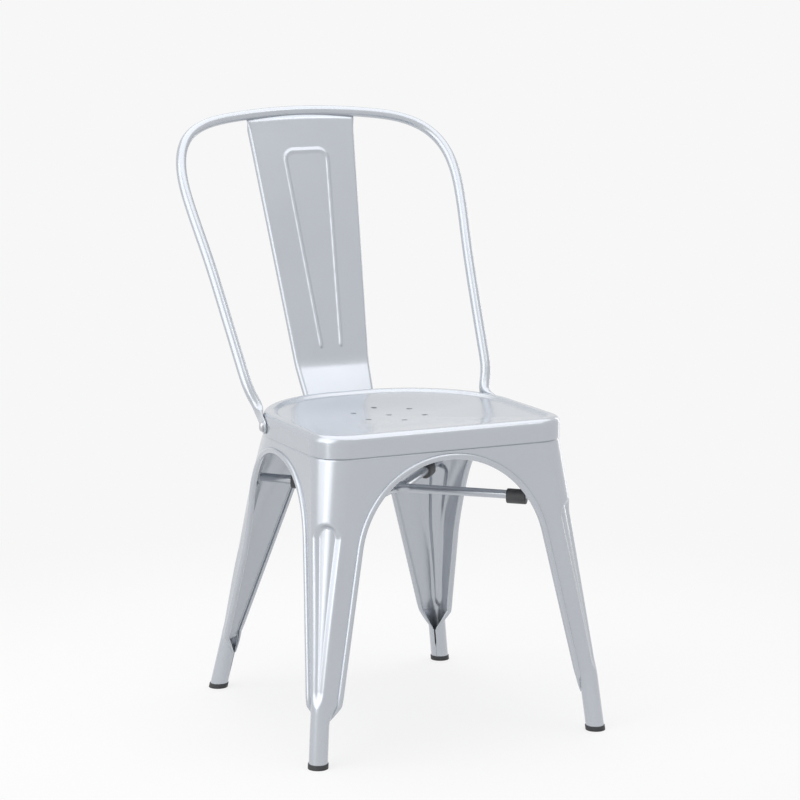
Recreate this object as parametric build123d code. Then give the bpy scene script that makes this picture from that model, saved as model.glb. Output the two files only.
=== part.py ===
"""Stacking chair in pressed sheet steel, built as separate pieces.

Millimetres, +Z up, the sitter faces -Y. Every piece is drawn around the middle
of the seat and moved at the end, so the whole chair stands centred on z = 0.
"""
import math
import os

from build123d import *

# Sheet, clearances and the seat
SHEET = 1.2
FIT = 0.3
SEAT_WIDTH = 378.0
SEAT_DEPTH = 342.0
SEAT_TOP = 444.0
SKIRT = 30.0
FRONT_RADIUS = 46.0
REAR_RADIUS = 165.0
RIM_RADIUS = 10.0
DISH_DEPTH = 9.0
DISH_MARGIN = 24.0
HOLE_DIAMETER = 8.5
HOLE_PITCH = 51.0

# Legs: the centre of each foot on the floor, the foot tube and the corner flute
FRONT_FOOT = (214.0, 204.0)
REAR_FOOT = (184.0, 231.0)
TUBE_RADIUS = 13.0
TUBE_TOP = 92.0
FLARE = 78.0
LEG_RISE = 20.0
BEAD_RADIUS = 4.5
FLUTE_DEPTH = 7.0
FLUTE_LOW = 88.0
FLUTE_HIGH = 314.0
FLUTE_LOW_RADIUS = 9.5
FLUTE_HIGH_RADIUS = 14.0

# Arches between the legs: crown radius, crown height and width of the flange at FLARE
FRONT_ARCH = (140.0, 400.0, 42.0)
REAR_ARCH = (72.0, 372.0, 44.0)
SIDE_ARCH = (125.0, 392.0, 24.0)

# Feet
CAP_WALL = 1.2
CAP_FLOOR = 3.0
CAP_HEIGHT = 7.0
PLUG_FIT = 0.15
PLUG_TOP = 26.0

# Back hoop and its bolts
HOOP_RADIUS = 7.5
TUBE_WALL = 1.5
HOOP_TOP = 842.0
HOOP_HALF_WIDTH = 219.0
HOOP_LEAN = 0.648
HOOP_FOOT_Y = 42.5
HOOP_BOW = 21.0
HOOP_BEND = 0.125
TAB_THICK = 3.2
TAB_WIDTH = 20.0
TAB_REACH = 20.0
HOOP_BOLT_Y = 36.0

# Splat between hoop and seat
SPLAT_TOP_HALF = 87.5
SPLAT_LOW_HALF = 56.5
SPLAT_FLANGE = 12.0
SPLAT_ROUND = 6.0
SPLAT_BEND_RISE = 41.0
SPLAT_LOW_LEAN = 0.55
SPLAT_LOW_Y = 220.0
SPLAT_TAB = 22.0
SPLAT_BEND = 14.0
SPLAT_BOLT_X = 42.0
RIDGE_RADIUS = 3.4
RIDGE_RISE = 1.6
RIDGE_HALF = (35.0, 16.0)
RIDGE_SPAN = (0.85, 0.065)
RIDGE_TURN = 20.0

# Brace under the seat and its sleeves
BRACE_RADIUS = 6.25
BRACE_HEIGHT = 329.0
BRACE_BEND = 30.0
SLEEVE_WALL = 2.2
SLEEVE_LENGTH = 28.0
SLEEVE_DROP = 4.0
SLEEVE_SET = 40.0

# Screws
BOLT_RADIUS = 3.0
BOLT_HOLE = 3.25
HEAD_RADIUS = 6.5
HEAD_HEIGHT = 3.6
WASHER_RADIUS = 7.5
WASHER_THICK = 1.2
NUT_RADIUS = 5.77
NUT_HEIGHT = 5.0
BOLT_SPARE = 2.5

# Sizes that follow from the ones above
SKIRT_LOW = SEAT_TOP - SKIRT
LAP = SHEET + FIT
HALF_WIDTH = SEAT_WIDTH / 2 - LAP
HALF_DEPTH = SEAT_DEPTH / 2 - LAP
LEG_TOP = SKIRT_LOW + LEG_RISE
LEG_LOW = FLARE - 26.0
FAR = 4 * SEAT_WIDTH
HOOP_BOLT_Z = SKIRT_LOW + 0.6 * LEG_RISE


def lean(z: float, top: float, floor: float) -> float:
    """Straight change from one size at the skirt to another at the floor."""
    return top + (floor - top) * (SKIRT_LOW - z) / SKIRT_LOW


def corners(z: float) -> list[tuple[Vector, float]]:
    """Centre and radius of the two right-hand corner rounds, front then rear."""
    rise = max(0.0, (z - FLARE) / (SKIRT_LOW - FLARE))
    front = TUBE_RADIUS + (FRONT_RADIUS - LAP - TUBE_RADIUS) * rise
    rear = TUBE_RADIUS + (REAR_RADIUS - LAP - TUBE_RADIUS) * (0.32 * rise + 0.68 * rise**2)
    front_x = lean(z, HALF_WIDTH, FRONT_FOOT[0] + TUBE_RADIUS) - front
    front_y = -lean(z, HALF_DEPTH, FRONT_FOOT[1] + TUBE_RADIUS) + front
    rear_x = lean(z, HALF_WIDTH, REAR_FOOT[0] + TUBE_RADIUS) - rear
    rear_y = lean(z, HALF_DEPTH, REAR_FOOT[1] + TUBE_RADIUS) - rear
    return [(Vector(front_x, front_y, z), front), (Vector(rear_x, rear_y, z), rear)]


def rounded(centres: list[Vector], radii: list[float]) -> Wire:
    """Closed outline of four arcs about the given centres, joined by straight lines."""
    arcs = []
    for i in range(4):
        angles = [math.radians(90 * (i - 1) + step) for step in (0, 45, 90)]
        arcs.append([centres[i] + Vector(math.cos(a), math.sin(a)) * radii[i] for a in angles])
    edges = []
    for i in range(4):
        edges.append(ThreePointArc(*arcs[i]))
        edges.append(Line(arcs[i][2], arcs[(i + 1) % 4][0]))
    return Wire(edges)


def mirrored(point: Vector) -> Vector:
    """The same point on the other side of the chair."""
    return Vector(-point.X, point.Y, point.Z)


def skin(inset: float) -> Solid:
    """Body inside the leg frame's outer face, drawn in by the inset."""
    wires = []
    for z in (LEG_LOW, FLARE, 0.72 * FLARE + 0.28 * SKIRT_LOW, 0.45 * FLARE + 0.55 * SKIRT_LOW,
              0.2 * FLARE + 0.8 * SKIRT_LOW, LEG_TOP):
        (front, front_r), (rear, rear_r) = corners(z)
        centres = [front, rear, mirrored(rear), mirrored(front)]
        radii = [front_r - inset, rear_r - inset, rear_r - inset, front_r - inset]
        wires.append(rounded(centres, radii))
    return Solid.make_loft(wires, False)


def side_x(y: float, z: float) -> float:
    """Where the right-hand face of the frame stands at one depth and height."""
    (front, front_r), (rear, rear_r) = corners(z)
    if y < front.Y:
        return front.X + math.sqrt(max(0.0, front_r**2 - (y - front.Y) ** 2))
    if y > rear.Y:
        return rear.X + math.sqrt(max(0.0, rear_r**2 - (y - rear.Y) ** 2))
    share = (y - front.Y) / (rear.Y - front.Y)
    return (front.X + front_r) * (1 - share) + (rear.X + rear_r) * share


def end_y(x: float, z: float, end: int) -> float:
    """Where the front (end 0) or rear (end 1) face stands at one width and height."""
    centre, radius = corners(z)[end]
    over = max(0.0, abs(x) - centre.X)
    reach = math.sqrt(max(0.0, radius**2 - over**2))
    return centre.Y - reach if end == 0 else centre.Y + reach


def tangent(centre: tuple[float, float], radius: float, point: tuple[float, float]) -> tuple[float, float]:
    """Touching point of the line from a point below and beside a circle."""
    dx = point[0] - centre[0]
    dz = point[1] - centre[1]
    reach = math.hypot(dx, dz)
    side = 1 if dx > 0 else -1
    angle = math.atan2(dz, dx) + side * math.acos(radius / reach)
    return (centre[0] + radius * math.cos(angle), centre[1] + radius * math.sin(angle))


class Arch:
    """One arch: a crown circle with a straight flank down to each leg."""

    def __init__(self, middle: float, arch: tuple, low: float, high: float):
        self.radius = arch[0] + BEAD_RADIUS
        self.centre = (middle, arch[1] - arch[0])
        self.feet = [(low - BEAD_RADIUS, FLARE), (high + BEAD_RADIUS, FLARE)]
        self.touch = [tangent(self.centre, self.radius, foot) for foot in self.feet]
        self.crown = (middle, self.centre[1] + self.radius)

    def face(self, low_end: float, high_end: float) -> Face:
        """Closed opening, running out below the flare to the two foot tubes."""
        low = LEG_LOW - 20
        deep = FLARE - 16
        rim = [self.feet[0], (low_end, deep), (low_end, low), (high_end, low), (high_end, deep), self.feet[1]]
        edges = [Line(self.touch[0], self.feet[0])]
        edges += [Line(a, b) for a, b in zip(rim, rim[1:])]
        edges.append(Line(self.feet[1], self.touch[1]))
        edges.append(ThreePointArc(self.touch[1], self.crown, self.touch[0]))
        return make_face(Wire(edges))

    def rim(self) -> list[tuple[float, float]]:
        """Points along the edge from one leg to the other."""
        points = []
        start = math.atan2(self.touch[0][1] - self.centre[1], self.touch[0][0] - self.centre[0])
        end = math.atan2(self.touch[1][1] - self.centre[1], self.touch[1][0] - self.centre[0])
        start = start % (2 * math.pi)
        end = (end + math.pi) % (2 * math.pi) - math.pi
        for share in (0.03, 0.3, 0.6, 0.85):
            points.append(self.between(self.feet[0], self.touch[0], share))
        for i in range(13):
            angle = start + (end - start) * i / 12
            points.append((self.centre[0] + self.radius * math.cos(angle),
                           self.centre[1] + self.radius * math.sin(angle)))
        for share in (0.85, 0.6, 0.3, 0.03):
            points.append(self.between(self.feet[1], self.touch[1], share))
        return points

    @staticmethod
    def between(a: tuple, b: tuple, share: float) -> tuple[float, float]:
        """Point part of the way from a to b."""
        return (a[0] + (b[0] - a[0]) * share, a[1] + (b[1] - a[1]) * share)


def bead(points: list[Vector]):
    """Rolled edge along the points."""
    path = Spline(*points)
    return sweep(Plane(path @ 0, z_dir=path % 0) * Circle(BEAD_RADIUS), path=path)


def corner_point(z: float, end: int, inset: float) -> Vector:
    """Point on the middle of a right-hand corner round."""
    centre, radius = corners(z)[end]
    way = Vector(1, -1 if end == 0 else 1, 0).normalized()
    return centre + way * (radius - inset)


def flute(end: int, grow: float):
    """Pin-shaped tool that presses the groove into one corner."""
    low = corner_point(FLUTE_LOW, end, 0)
    high = corner_point(FLUTE_HIGH, end, 0)
    out = Vector(1, -1 if end == 0 else 1, 0).normalized()
    along = (high - low).normalized()
    plane = Plane((low + high) * 0.5, x_dir=along - out * along.dot(out), z_dir=out)
    half = (high - low).length / 2
    rounds = Pos(-half, 0) * Circle(FLUTE_LOW_RADIUS + grow) + Pos(half, 0) * Circle(FLUTE_HIGH_RADIUS + grow)
    return extrude(plane * make_hull(rounds.edges()), amount=40, both=True)


def slant(end: int) -> Vector:
    """Direction up one right-hand foot tube."""
    top = corners(FLARE)[end][0]
    low = corners(0)[end][0]
    return (top - low).normalized()


def pillar(end: int, radius: float, low: float, high: float):
    """Round bar along a right-hand foot tube between two heights."""
    way = slant(end)
    base = corners(0)[end][0] + way * (low / way.Z)
    return extrude(Pos(base.X, base.Y, low) * Circle(radius), amount=(high - low) / way.Z, dir=way)


def half_space(low: tuple, high: tuple):
    """Box between two opposite points."""
    size = [b - a for a, b in zip(low, high)]
    middle = [(a + b) / 2 for a, b in zip(low, high)]
    return Pos(*middle) * Box(*size)


def arches() -> list[Arch]:
    """Front, rear and side arch of the frame."""
    (front, front_r), (rear, rear_r) = corners(FLARE)
    wide_front = front.X + front_r - FRONT_ARCH[2]
    wide_rear = rear.X + rear_r - REAR_ARCH[2]
    side_low = front.Y - front_r + SIDE_ARCH[2]
    side_high = rear.Y + rear_r - SIDE_ARCH[2]
    return [Arch(0, FRONT_ARCH, -wide_front + BEAD_RADIUS, wide_front - BEAD_RADIUS),
            Arch(0, REAR_ARCH, -wide_rear + BEAD_RADIUS, wide_rear - BEAD_RADIUS),
            Arch(0, SIDE_ARCH, side_low + BEAD_RADIUS, side_high - BEAD_RADIUS)]


def leg_cutters(openings: list[Arch]) -> list:
    """Solids that open the front, rear and side arches."""
    front, rear, side = openings
    reach_front = corners(FLARE)[0][0].X
    reach_rear = corners(FLARE)[1][0].X
    reach_low = corners(FLARE)[0][0].Y
    reach_high = corners(FLARE)[1][0].Y
    gap = SHEET * 4
    front_cut = extrude(Plane.XZ * front.face(-reach_front, reach_front), amount=FAR)
    front_cut &= half_space((-FAR, -FAR, -FAR), (FAR, -gap, FAR))
    rear_cut = extrude(Plane.XZ * rear.face(-reach_rear, reach_rear), amount=-FAR)
    rear_cut &= half_space((-FAR, gap, -FAR), (FAR, FAR, FAR))
    side_cut = extrude(Plane.YZ * side.face(reach_low, reach_high), amount=FAR)
    side_cut &= half_space((HALF_WIDTH / 2, -FAR, -FAR), (FAR, FAR, FAR))
    return [front_cut, rear_cut, side_cut]


def leg_beads(openings: list[Arch]) -> list:
    """Rolled edges of the front, rear and right-hand side arches."""
    half = SHEET / 2
    front, rear, side = openings
    front_line = [Vector(x, end_y(x, z, 0) + half, z) for x, z in front.rim()]
    rear_line = [Vector(x, end_y(x, z, 1) - half, z) for x, z in rear.rim()]
    side_line = [Vector(side_x(y, z) - half, y, z) for y, z in side.rim()]
    return [bead(front_line), bead(rear_line), bead(side_line)]


def make_leg(end: int, skins: list, cutters: list, beads: list):
    """Right-hand leg: pressed corner with flute, rolled edges and foot tube."""
    low_y = -FAR if end == 0 else 0
    quarter = half_space((0, low_y, -FAR), (FAR, low_y + FAR, FAR))
    outer, inner, floor, under = [quarter & body for body in skins]
    groove = flute(end, 0) - floor
    bulge = flute(end, SHEET) - under
    leg = (outer - groove) - (inner - bulge)
    leg = leg - cutters[end] - cutters[2]
    leg = leg + (quarter & beads[end])
    leg = leg + (quarter & beads[2])
    tube = pillar(end, TUBE_RADIUS - FIT, CAP_FLOOR, TUBE_TOP)
    tube -= pillar(end, TUBE_RADIUS - FIT - SHEET, 0, TUBE_TOP + 10)
    inward = Vector(-1, 1 if end == 0 else -1, 0).normalized()
    top = corner_point(FLARE - 2, end, TUBE_RADIUS)
    trim = Plane(top, z_dir=inward + Vector(0, 0, 0.9)) * Pos(0, 0, 50) * Box(200, 200, 100)
    return leg + (tube - trim)


def make_foot(end: int):
    """Right-hand floor cap: a cup round the tube end with a plug inside it."""
    cup = pillar(end, TUBE_RADIUS - FIT + PLUG_FIT + CAP_WALL, 0, CAP_HEIGHT)
    cup -= pillar(end, TUBE_RADIUS - FIT + PLUG_FIT, CAP_FLOOR, CAP_HEIGHT + 1)
    return cup + pillar(end, TUBE_RADIUS - FIT - SHEET - PLUG_FIT, CAP_FLOOR / 2, PLUG_TOP)


def seat_outline(inset: float) -> Wire:
    """Plan of the seat, a straight front and a deep rounded rear."""
    half_x = SEAT_WIDTH / 2
    half_y = SEAT_DEPTH / 2
    front = Vector(half_x - FRONT_RADIUS, FRONT_RADIUS - half_y)
    rear = Vector(half_x - REAR_RADIUS, half_y - REAR_RADIUS)
    centres = [front, rear, mirrored(rear), mirrored(front)]
    radii = [FRONT_RADIUS - inset, REAR_RADIUS - inset, REAR_RADIUS - inset, FRONT_RADIUS - inset]
    return rounded(centres, radii)


def seat_body(inset: float):
    """Seat block with a round rim and a dish pressed into its top."""
    block = extrude(Pos(0, 0, SKIRT_LOW - inset) * make_face(seat_outline(inset)), amount=SKIRT)
    block = fillet(block.faces().sort_by(Axis.Z)[-1].edges(), RIM_RADIUS - inset)
    half = SEAT_DEPTH / 2 - DISH_MARGIN
    sphere = (half**2 + DISH_DEPTH**2) / (2 * DISH_DEPTH)
    return block - Pos(0, 0, SEAT_TOP - inset - DISH_DEPTH + sphere) * Sphere(sphere)


def make_seat():
    """Seat pan with drain holes and the two hoop bolt holes."""
    pan = seat_body(0) - seat_body(SHEET)
    holes = [Vector(0, 0)]
    holes += [Vector(0, HOLE_PITCH).rotate(Axis.Z, 60 * i) for i in range(6)]
    for hole in holes:
        pan -= Pos(hole.X, hole.Y, SEAT_TOP) * Cylinder(HOLE_DIAMETER / 2, 4 * DISH_DEPTH)
    return pan


def hoop_plane() -> Plane:
    """Plane on the right-hand skirt at the hoop bolt, facing out, x along the tab."""
    centre_x = SEAT_WIDTH / 2 - REAR_RADIUS
    centre_y = SEAT_DEPTH / 2 - REAR_RADIUS
    angle = math.asin(max(0.0, HOOP_BOLT_Y - centre_y) / REAR_RADIUS)
    out = Vector(math.cos(angle), math.sin(angle), 0)
    place = Vector(centre_x + REAR_RADIUS * out.X, HOOP_BOLT_Y, HOOP_BOLT_Z)
    up = hoop_line()[0] - place
    return Plane(place, x_dir=up - out * up.dot(out), z_dir=out)


def hoop_line() -> list[Vector]:
    """Points on the hoop's centre line from the right-hand end up to the top."""
    shares = ((0.888, HOOP_BEND), (0.890, 0.22), (0.905, 0.36), (0.950, 0.56), (1.0, 0.72), (1.001, 0.80),
              (0.968, 0.872), (0.885, 0.928), (0.735, 0.966), (0.53, 0.985), (0.27, 0.996), (0.0, 1.0))
    points = []
    for wide, high in shares:
        z = SKIRT_LOW + (HOOP_TOP - SKIRT_LOW) * high
        y = HOOP_FOOT_Y + HOOP_LEAN * (z - SKIRT_LOW) + HOOP_BOW * (1 - wide**2)
        points.append(Vector(HOOP_HALF_WIDTH * wide, y, z))
    return points


def hoop_path() -> Edge:
    """Centre line of the whole hoop."""
    right = hoop_line()
    return Spline(*right, *[mirrored(point) for point in reversed(right[:-1])])


def hoop_tube(radius: float):
    """Round bar along the hoop."""
    path = hoop_path()
    return sweep(Plane(path @ 0, z_dir=path % 0) * Circle(radius), path=path, is_frenet=True)


def make_hoop():
    """Back hoop with both ends pressed flat and bored for a bolt."""
    plane = hoop_plane()
    path = hoop_path()
    middle = FIT + TAB_THICK / 2
    flat = Plane(plane.from_local_coords(Vector(TAB_REACH, 0, middle)), x_dir=plane.y_dir, z_dir=plane.x_dir)
    start = Plane(path @ 0, x_dir=plane.y_dir - (path % 0) * plane.y_dir.dot(path % 0), z_dir=path % 0)
    flat_wire = (flat * RectangleRounded(TAB_WIDTH, TAB_THICK, TAB_THICK / 2.2)).face().outer_wire()
    neck = Solid.make_loft([flat_wire, (start * Circle(HOOP_RADIUS)).face().outer_wire()], True)
    plate = plane * Pos(TAB_REACH / 2, 0, middle) * Box(TAB_REACH + 1, TAB_WIDTH, TAB_THICK)
    plate += plane * Pos(0, 0, middle) * Cylinder(TAB_WIDTH / 2, TAB_THICK)
    plate -= plane * Cylinder(BOLT_HOLE, 4 * TAB_WIDTH)
    end = neck + plate
    hoop = hoop_tube(HOOP_RADIUS) + [end, mirror(end, about=Plane.YZ)]
    return hoop - hoop_tube(HOOP_RADIUS - TUBE_WALL)


def shifted(points: list, offset: float) -> list[tuple[float, float]]:
    """Open line of points moved sideways, each stretch parallel to what it was."""
    ways = []
    for a, b in zip(points, points[1:]):
        length = math.hypot(b[0] - a[0], b[1] - a[1])
        ways.append(((a[1] - b[1]) / length, (b[0] - a[0]) / length))
    moved = [(points[0][0] + ways[0][0] * offset, points[0][1] + ways[0][1] * offset)]
    for i in range(1, len(ways)):
        one, two = ways[i - 1], ways[i]
        share = offset / (1 + one[0] * two[0] + one[1] * two[1])
        moved.append((points[i][0] + (one[0] + two[0]) * share, points[i][1] + (one[1] + two[1]) * share))
    moved.append((points[-1][0] + ways[-1][0] * offset, points[-1][1] + ways[-1][1] * offset))
    return moved


def splat_profile() -> list[tuple[float, float]]:
    """Side view of the splat's front face from the hoop down to the rear apron."""
    top = hoop_line()[-1]
    bend = (SPLAT_LOW_Y, SEAT_TOP + SPLAT_BEND_RISE)
    z = SKIRT_LOW
    while end_y(0, z, 1) + FIT < bend[0] - SPLAT_LOW_LEAN * (bend[1] - z):
        z -= 0.5
    low = z - SPLAT_TAB
    return [(top.Y - HOOP_RADIUS * 0.8, top.Z - HOOP_RADIUS / 2), bend,
            (end_y(0, z, 1) + FIT, z), (end_y(0, low, 1) + FIT, low)]


def splat_strip(near: float, far: float):
    """Wide strip along the splat between two distances behind its front face."""
    profile = splat_profile()
    front = FilletPolyline(*shifted(profile, near), radius=SPLAT_BEND)
    back = FilletPolyline(*shifted(profile, far), radius=SPLAT_BEND)
    ends = [Line(front @ 0, back @ 0), Line(front @ 1, back @ 1)]
    face = make_face(Wire([*front.edges(), *back.edges(), *ends]))
    return extrude(Plane.YZ * face, amount=FAR / 4, both=True)


def splat_half(z: float) -> float:
    """Half width of the splat at one height."""
    slope = (SPLAT_TOP_HALF - SPLAT_LOW_HALF) / (HOOP_TOP - SEAT_TOP)
    return SPLAT_LOW_HALF + slope * (z - SEAT_TOP)


def splat_tray(near: float, far: float, inset: float):
    """Strip trimmed to the splat's taper, its two long front edges rounded."""
    low = SKIRT_LOW / 2
    base = splat_half(low) - inset
    top = splat_half(HOOP_TOP) - inset
    face = make_face(Polyline((-base, low), (base, low), (top, HOOP_TOP), (-top, HOOP_TOP), close=True))
    body = splat_strip(near, far) & extrude(Plane.XZ * face, amount=FAR, both=True)
    front = Plane.YZ * FilletPolyline(*shifted(splat_profile(), near), radius=SPLAT_BEND)
    edges = []
    for edge in body.edges():
        spot = edge @ 0.5
        if abs(abs(spot.X) - splat_half(spot.Z) + inset) < 0.05:
            if front.distance_to(Vertex(0, spot.Y, spot.Z)) < 0.05:
                edges.append(edge)
    return fillet(edges, SPLAT_ROUND - inset)


def ridge(radius: float):
    """Bar along the raised line on the splat, an upside-down U."""
    top, bend = [Vector(0, y, z) for y, z in splat_profile()[:2]]
    up = (top - bend).normalized()
    face = Plane(bend, x_dir=(1, 0, 0), z_dir=Vector(1, 0, 0).cross(up))
    length = (top - bend).length
    high, low = [share * length for share in RIDGE_SPAN]
    wide, narrow = RIDGE_HALF
    flat = FilletPolyline((-narrow, low), (-wide, high), (wide, high), (narrow, low), radius=RIDGE_TURN)
    path = face * Pos(0, 0, RIDGE_RISE - RIDGE_RADIUS) * flat
    body = sweep(Plane(path @ 0, z_dir=path % 0) * Circle(radius), path=path)
    return body + [Pos(*(path @ share)) * Sphere(radius) for share in (0, 1)]


def splat_plane() -> Plane:
    """Plane on the rear apron at the right-hand splat bolt, facing out."""
    z = splat_profile()[2][1] - 0.57 * SPLAT_TAB
    fall = (end_y(0, z - 5, 1) - end_y(0, z + 5, 1)) / 10
    place = Vector(SPLAT_BOLT_X, end_y(SPLAT_BOLT_X, z, 1), z)
    return Plane(place, x_dir=(1, 0, 0), z_dir=(0, 1, fall))


def make_splat(rear_arch: Arch):
    """Tapered back panel with turned sides, a raised line and two bolt holes."""
    panel = splat_tray(0, SPLAT_FLANGE, 0) - splat_tray(SHEET, SPLAT_FLANGE + 4, SHEET)
    behind = splat_strip(SHEET, SPLAT_FLANGE + 6)
    panel -= behind & half_space((-FAR, -FAR, 0), (FAR, FAR, SKIRT_LOW + SHEET))
    panel += ridge(RIDGE_RADIUS) & splat_strip(-RIDGE_RADIUS, SHEET)
    panel -= ridge(RIDGE_RADIUS - SHEET)
    panel -= hoop_tube(HOOP_RADIUS + FIT)
    notch = Circle(rear_arch.radius + 2 * BEAD_RADIUS)
    panel -= extrude(Plane.XZ * Pos(*rear_arch.centre) * notch, amount=-FAR)
    hole = splat_plane() * Cylinder(BOLT_HOLE, 40)
    return panel - [hole, mirror(hole, about=Plane.YZ)]


def brace_line(end: int) -> list[Vector]:
    """Right leg, middle and left leg for the front (end 0) or rear (end 1) brace."""
    hold = FLUTE_DEPTH + SHEET + 2 * FIT
    radius = corners(BRACE_HEIGHT)[end][1]
    hold += BRACE_RADIUS**2 / (2 * (radius - hold))
    tip = corner_point(BRACE_HEIGHT, end, hold)
    side = -1 if end == 0 else 1
    middle = 0.0
    for _ in range(4):
        half_turn = math.atan2(tip.X, abs(tip.Y - middle))
        middle = side * (BRACE_RADIUS + FIT / 2 - BRACE_BEND * (1 / math.sin(half_turn) - 1))
    return [tip, Vector(0, middle, BRACE_HEIGHT), mirrored(tip)]


def make_brace(end: int):
    """Bent tube between two legs, its bend at the middle of the chair."""
    flat = [(point.X, point.Y) for point in brace_line(end)]
    path = Pos(0, 0, BRACE_HEIGHT) * FilletPolyline(*flat, radius=BRACE_BEND)
    ring = Circle(BRACE_RADIUS) - Circle(BRACE_RADIUS - TUBE_WALL)
    return sweep(Plane(path @ 0, z_dir=path % 0) * ring, path=path)


def make_sleeve(end: int):
    """Right-hand pad round a brace, thicker below, where a stacked chair rests."""
    tip, middle, _ = brace_line(end)
    way = (middle - tip).normalized()
    place = Plane(tip + way * SLEEVE_SET, x_dir=way.cross(Vector(0, 0, 1)), z_dir=way)
    drop = SLEEVE_DROP if place.y_dir.Z < 0 else -SLEEVE_DROP
    round_off = Circle(BRACE_RADIUS + PLUG_FIT + SLEEVE_WALL)
    shape = make_hull((round_off + Pos(0, drop) * round_off).edges()) - Circle(BRACE_RADIUS + PLUG_FIT)
    return extrude(place * shape, amount=SLEEVE_LENGTH)


def nut_seat(plane: Plane, side: bool) -> float:
    """How far in from a bolt's plane its nut finds the inside of the frame."""
    depths = []
    for i in range(8):
        spot = plane.from_local_coords(Vector(NUT_RADIUS, 0).rotate(Axis.Z, 45 * i))
        if side:
            wall = Vector(side_x(spot.Y, spot.Z), spot.Y, spot.Z)
        else:
            wall = Vector(spot.X, end_y(spot.X, spot.Z, 1), spot.Z)
        depths.append(plane.to_local_coords(wall).Z)
    return min(depths) - SHEET - FIT


def make_bolt(plane: Plane, seat: float, nut: float):
    """Round-headed bolt through a nut."""
    head = Pos(0, 0, seat + HEAD_HEIGHT / 2) * Cylinder(HEAD_RADIUS, HEAD_HEIGHT)
    head = fillet(head.faces().sort_by(Axis.Z)[-1].edges(), HEAD_HEIGHT * 0.75)
    tip = nut - NUT_HEIGHT - BOLT_SPARE
    shank = Pos(0, 0, (seat + 1 + tip) / 2) * Cylinder(BOLT_RADIUS, seat + 1 - tip)
    return plane * (head + shank)


def make_washer(plane: Plane, low: float):
    """Flat ring under a bolt head."""
    ring = Circle(WASHER_RADIUS) - Circle(BOLT_HOLE)
    return plane * Pos(0, 0, low) * extrude(ring, amount=WASHER_THICK)


def make_nut(plane: Plane, top: float):
    """Six-sided nut inside the frame."""
    ring = RegularPolygon(NUT_RADIUS, 6) - Circle(BOLT_RADIUS + PLUG_FIT)
    return plane * Pos(0, 0, top) * extrude(ring, amount=-NUT_HEIGHT)


def pair(pieces: dict, name: str, piece):
    """Add a right-hand piece and its mirror image."""
    pieces[f"{name}_right"] = piece
    pieces[f"{name}_left"] = mirror(piece, about=Plane.YZ)


def build() -> dict:
    """All pieces of the chair by name."""
    openings = arches()
    skins = [skin(inset) for inset in (0, SHEET, FLUTE_DEPTH, FLUTE_DEPTH + SHEET)]
    cutters = leg_cutters(openings)
    beads = leg_beads(openings)
    hoop_at = hoop_plane()
    splat_at = splat_plane()
    hoop_hole = hoop_at * Cylinder(BOLT_HOLE, 40)
    splat_hole = splat_at * Cylinder(BOLT_HOLE, 40)
    pieces = {"seat_pan": make_seat() - [hoop_hole, mirror(hoop_hole, about=Plane.YZ)]}
    pair(pieces, "leg_front", make_leg(0, skins, cutters, beads))
    pair(pieces, "leg_rear", make_leg(1, skins, cutters, beads) - hoop_hole - splat_hole)
    pieces["back_hoop"] = make_hoop()
    pieces["back_splat"] = make_splat(openings[1])
    for end, name in enumerate(("front", "rear")):
        pieces[f"brace_{name}"] = make_brace(end)
        pair(pieces, f"sleeve_{name}", make_sleeve(end))
        pair(pieces, f"foot_{name}", make_foot(end))
    hoop_nut = nut_seat(hoop_at, True)
    splat_nut = nut_seat(splat_at, False)
    for name, plane, low, nut in (("hoop", hoop_at, FIT + TAB_THICK, hoop_nut),
                                  ("splat", splat_at, FIT + SHEET, splat_nut)):
        pair(pieces, f"{name}_washer", make_washer(plane, low))
        pair(pieces, f"{name}_bolt", make_bolt(plane, low + WASHER_THICK, nut))
        pair(pieces, f"{name}_nut", make_nut(plane, nut))
    return pieces


def export(pieces: dict):
    """Stand the chair on z = 0 about the origin and write one file per piece."""
    box = Compound([solid for piece in pieces.values() for solid in piece.solids()]).bounding_box()
    middle = box.center()
    for name, piece in pieces.items():
        export_step(Pos(-middle.X, -middle.Y, -box.min.Z) * piece, f"parts/{name}.step")


os.makedirs("parts", exist_ok=True)
export(build())
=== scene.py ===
"""Dress the stacking chair: pressed silver sheet steel on dark floor caps, in plain studio light.

Sizes are millimetres about the middle of the seat, the sitter facing -Y, until a mesh is
placed in the shared frame.
"""
import logging
import math
from dataclasses import dataclass
from enum import Enum
from typing import Any

import bpy
import numpy as np
from mathutils import Matrix, Vector


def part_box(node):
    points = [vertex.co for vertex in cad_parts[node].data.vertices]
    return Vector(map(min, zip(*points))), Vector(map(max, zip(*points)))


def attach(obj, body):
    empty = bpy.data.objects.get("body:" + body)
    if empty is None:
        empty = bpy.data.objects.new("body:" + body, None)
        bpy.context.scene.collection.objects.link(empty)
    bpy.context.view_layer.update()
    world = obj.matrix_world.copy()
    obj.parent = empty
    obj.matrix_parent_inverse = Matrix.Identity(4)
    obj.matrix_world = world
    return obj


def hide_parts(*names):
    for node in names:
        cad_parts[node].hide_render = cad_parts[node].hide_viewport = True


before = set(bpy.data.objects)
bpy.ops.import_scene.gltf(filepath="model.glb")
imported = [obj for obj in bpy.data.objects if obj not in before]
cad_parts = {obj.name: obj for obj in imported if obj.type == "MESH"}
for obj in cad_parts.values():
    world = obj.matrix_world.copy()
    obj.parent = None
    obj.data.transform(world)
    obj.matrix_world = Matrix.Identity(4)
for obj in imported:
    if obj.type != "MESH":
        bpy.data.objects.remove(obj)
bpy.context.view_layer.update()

# Metres in a millimetre, and the thickness of the sheet steel in millimetres.
MM = 0.001
SHEET = 1.2
# Points nearer than this many metres are one point.
MERGE = 2e-6
# Rings that close each end of a bar.
CAP_ROWS = 6
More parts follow.
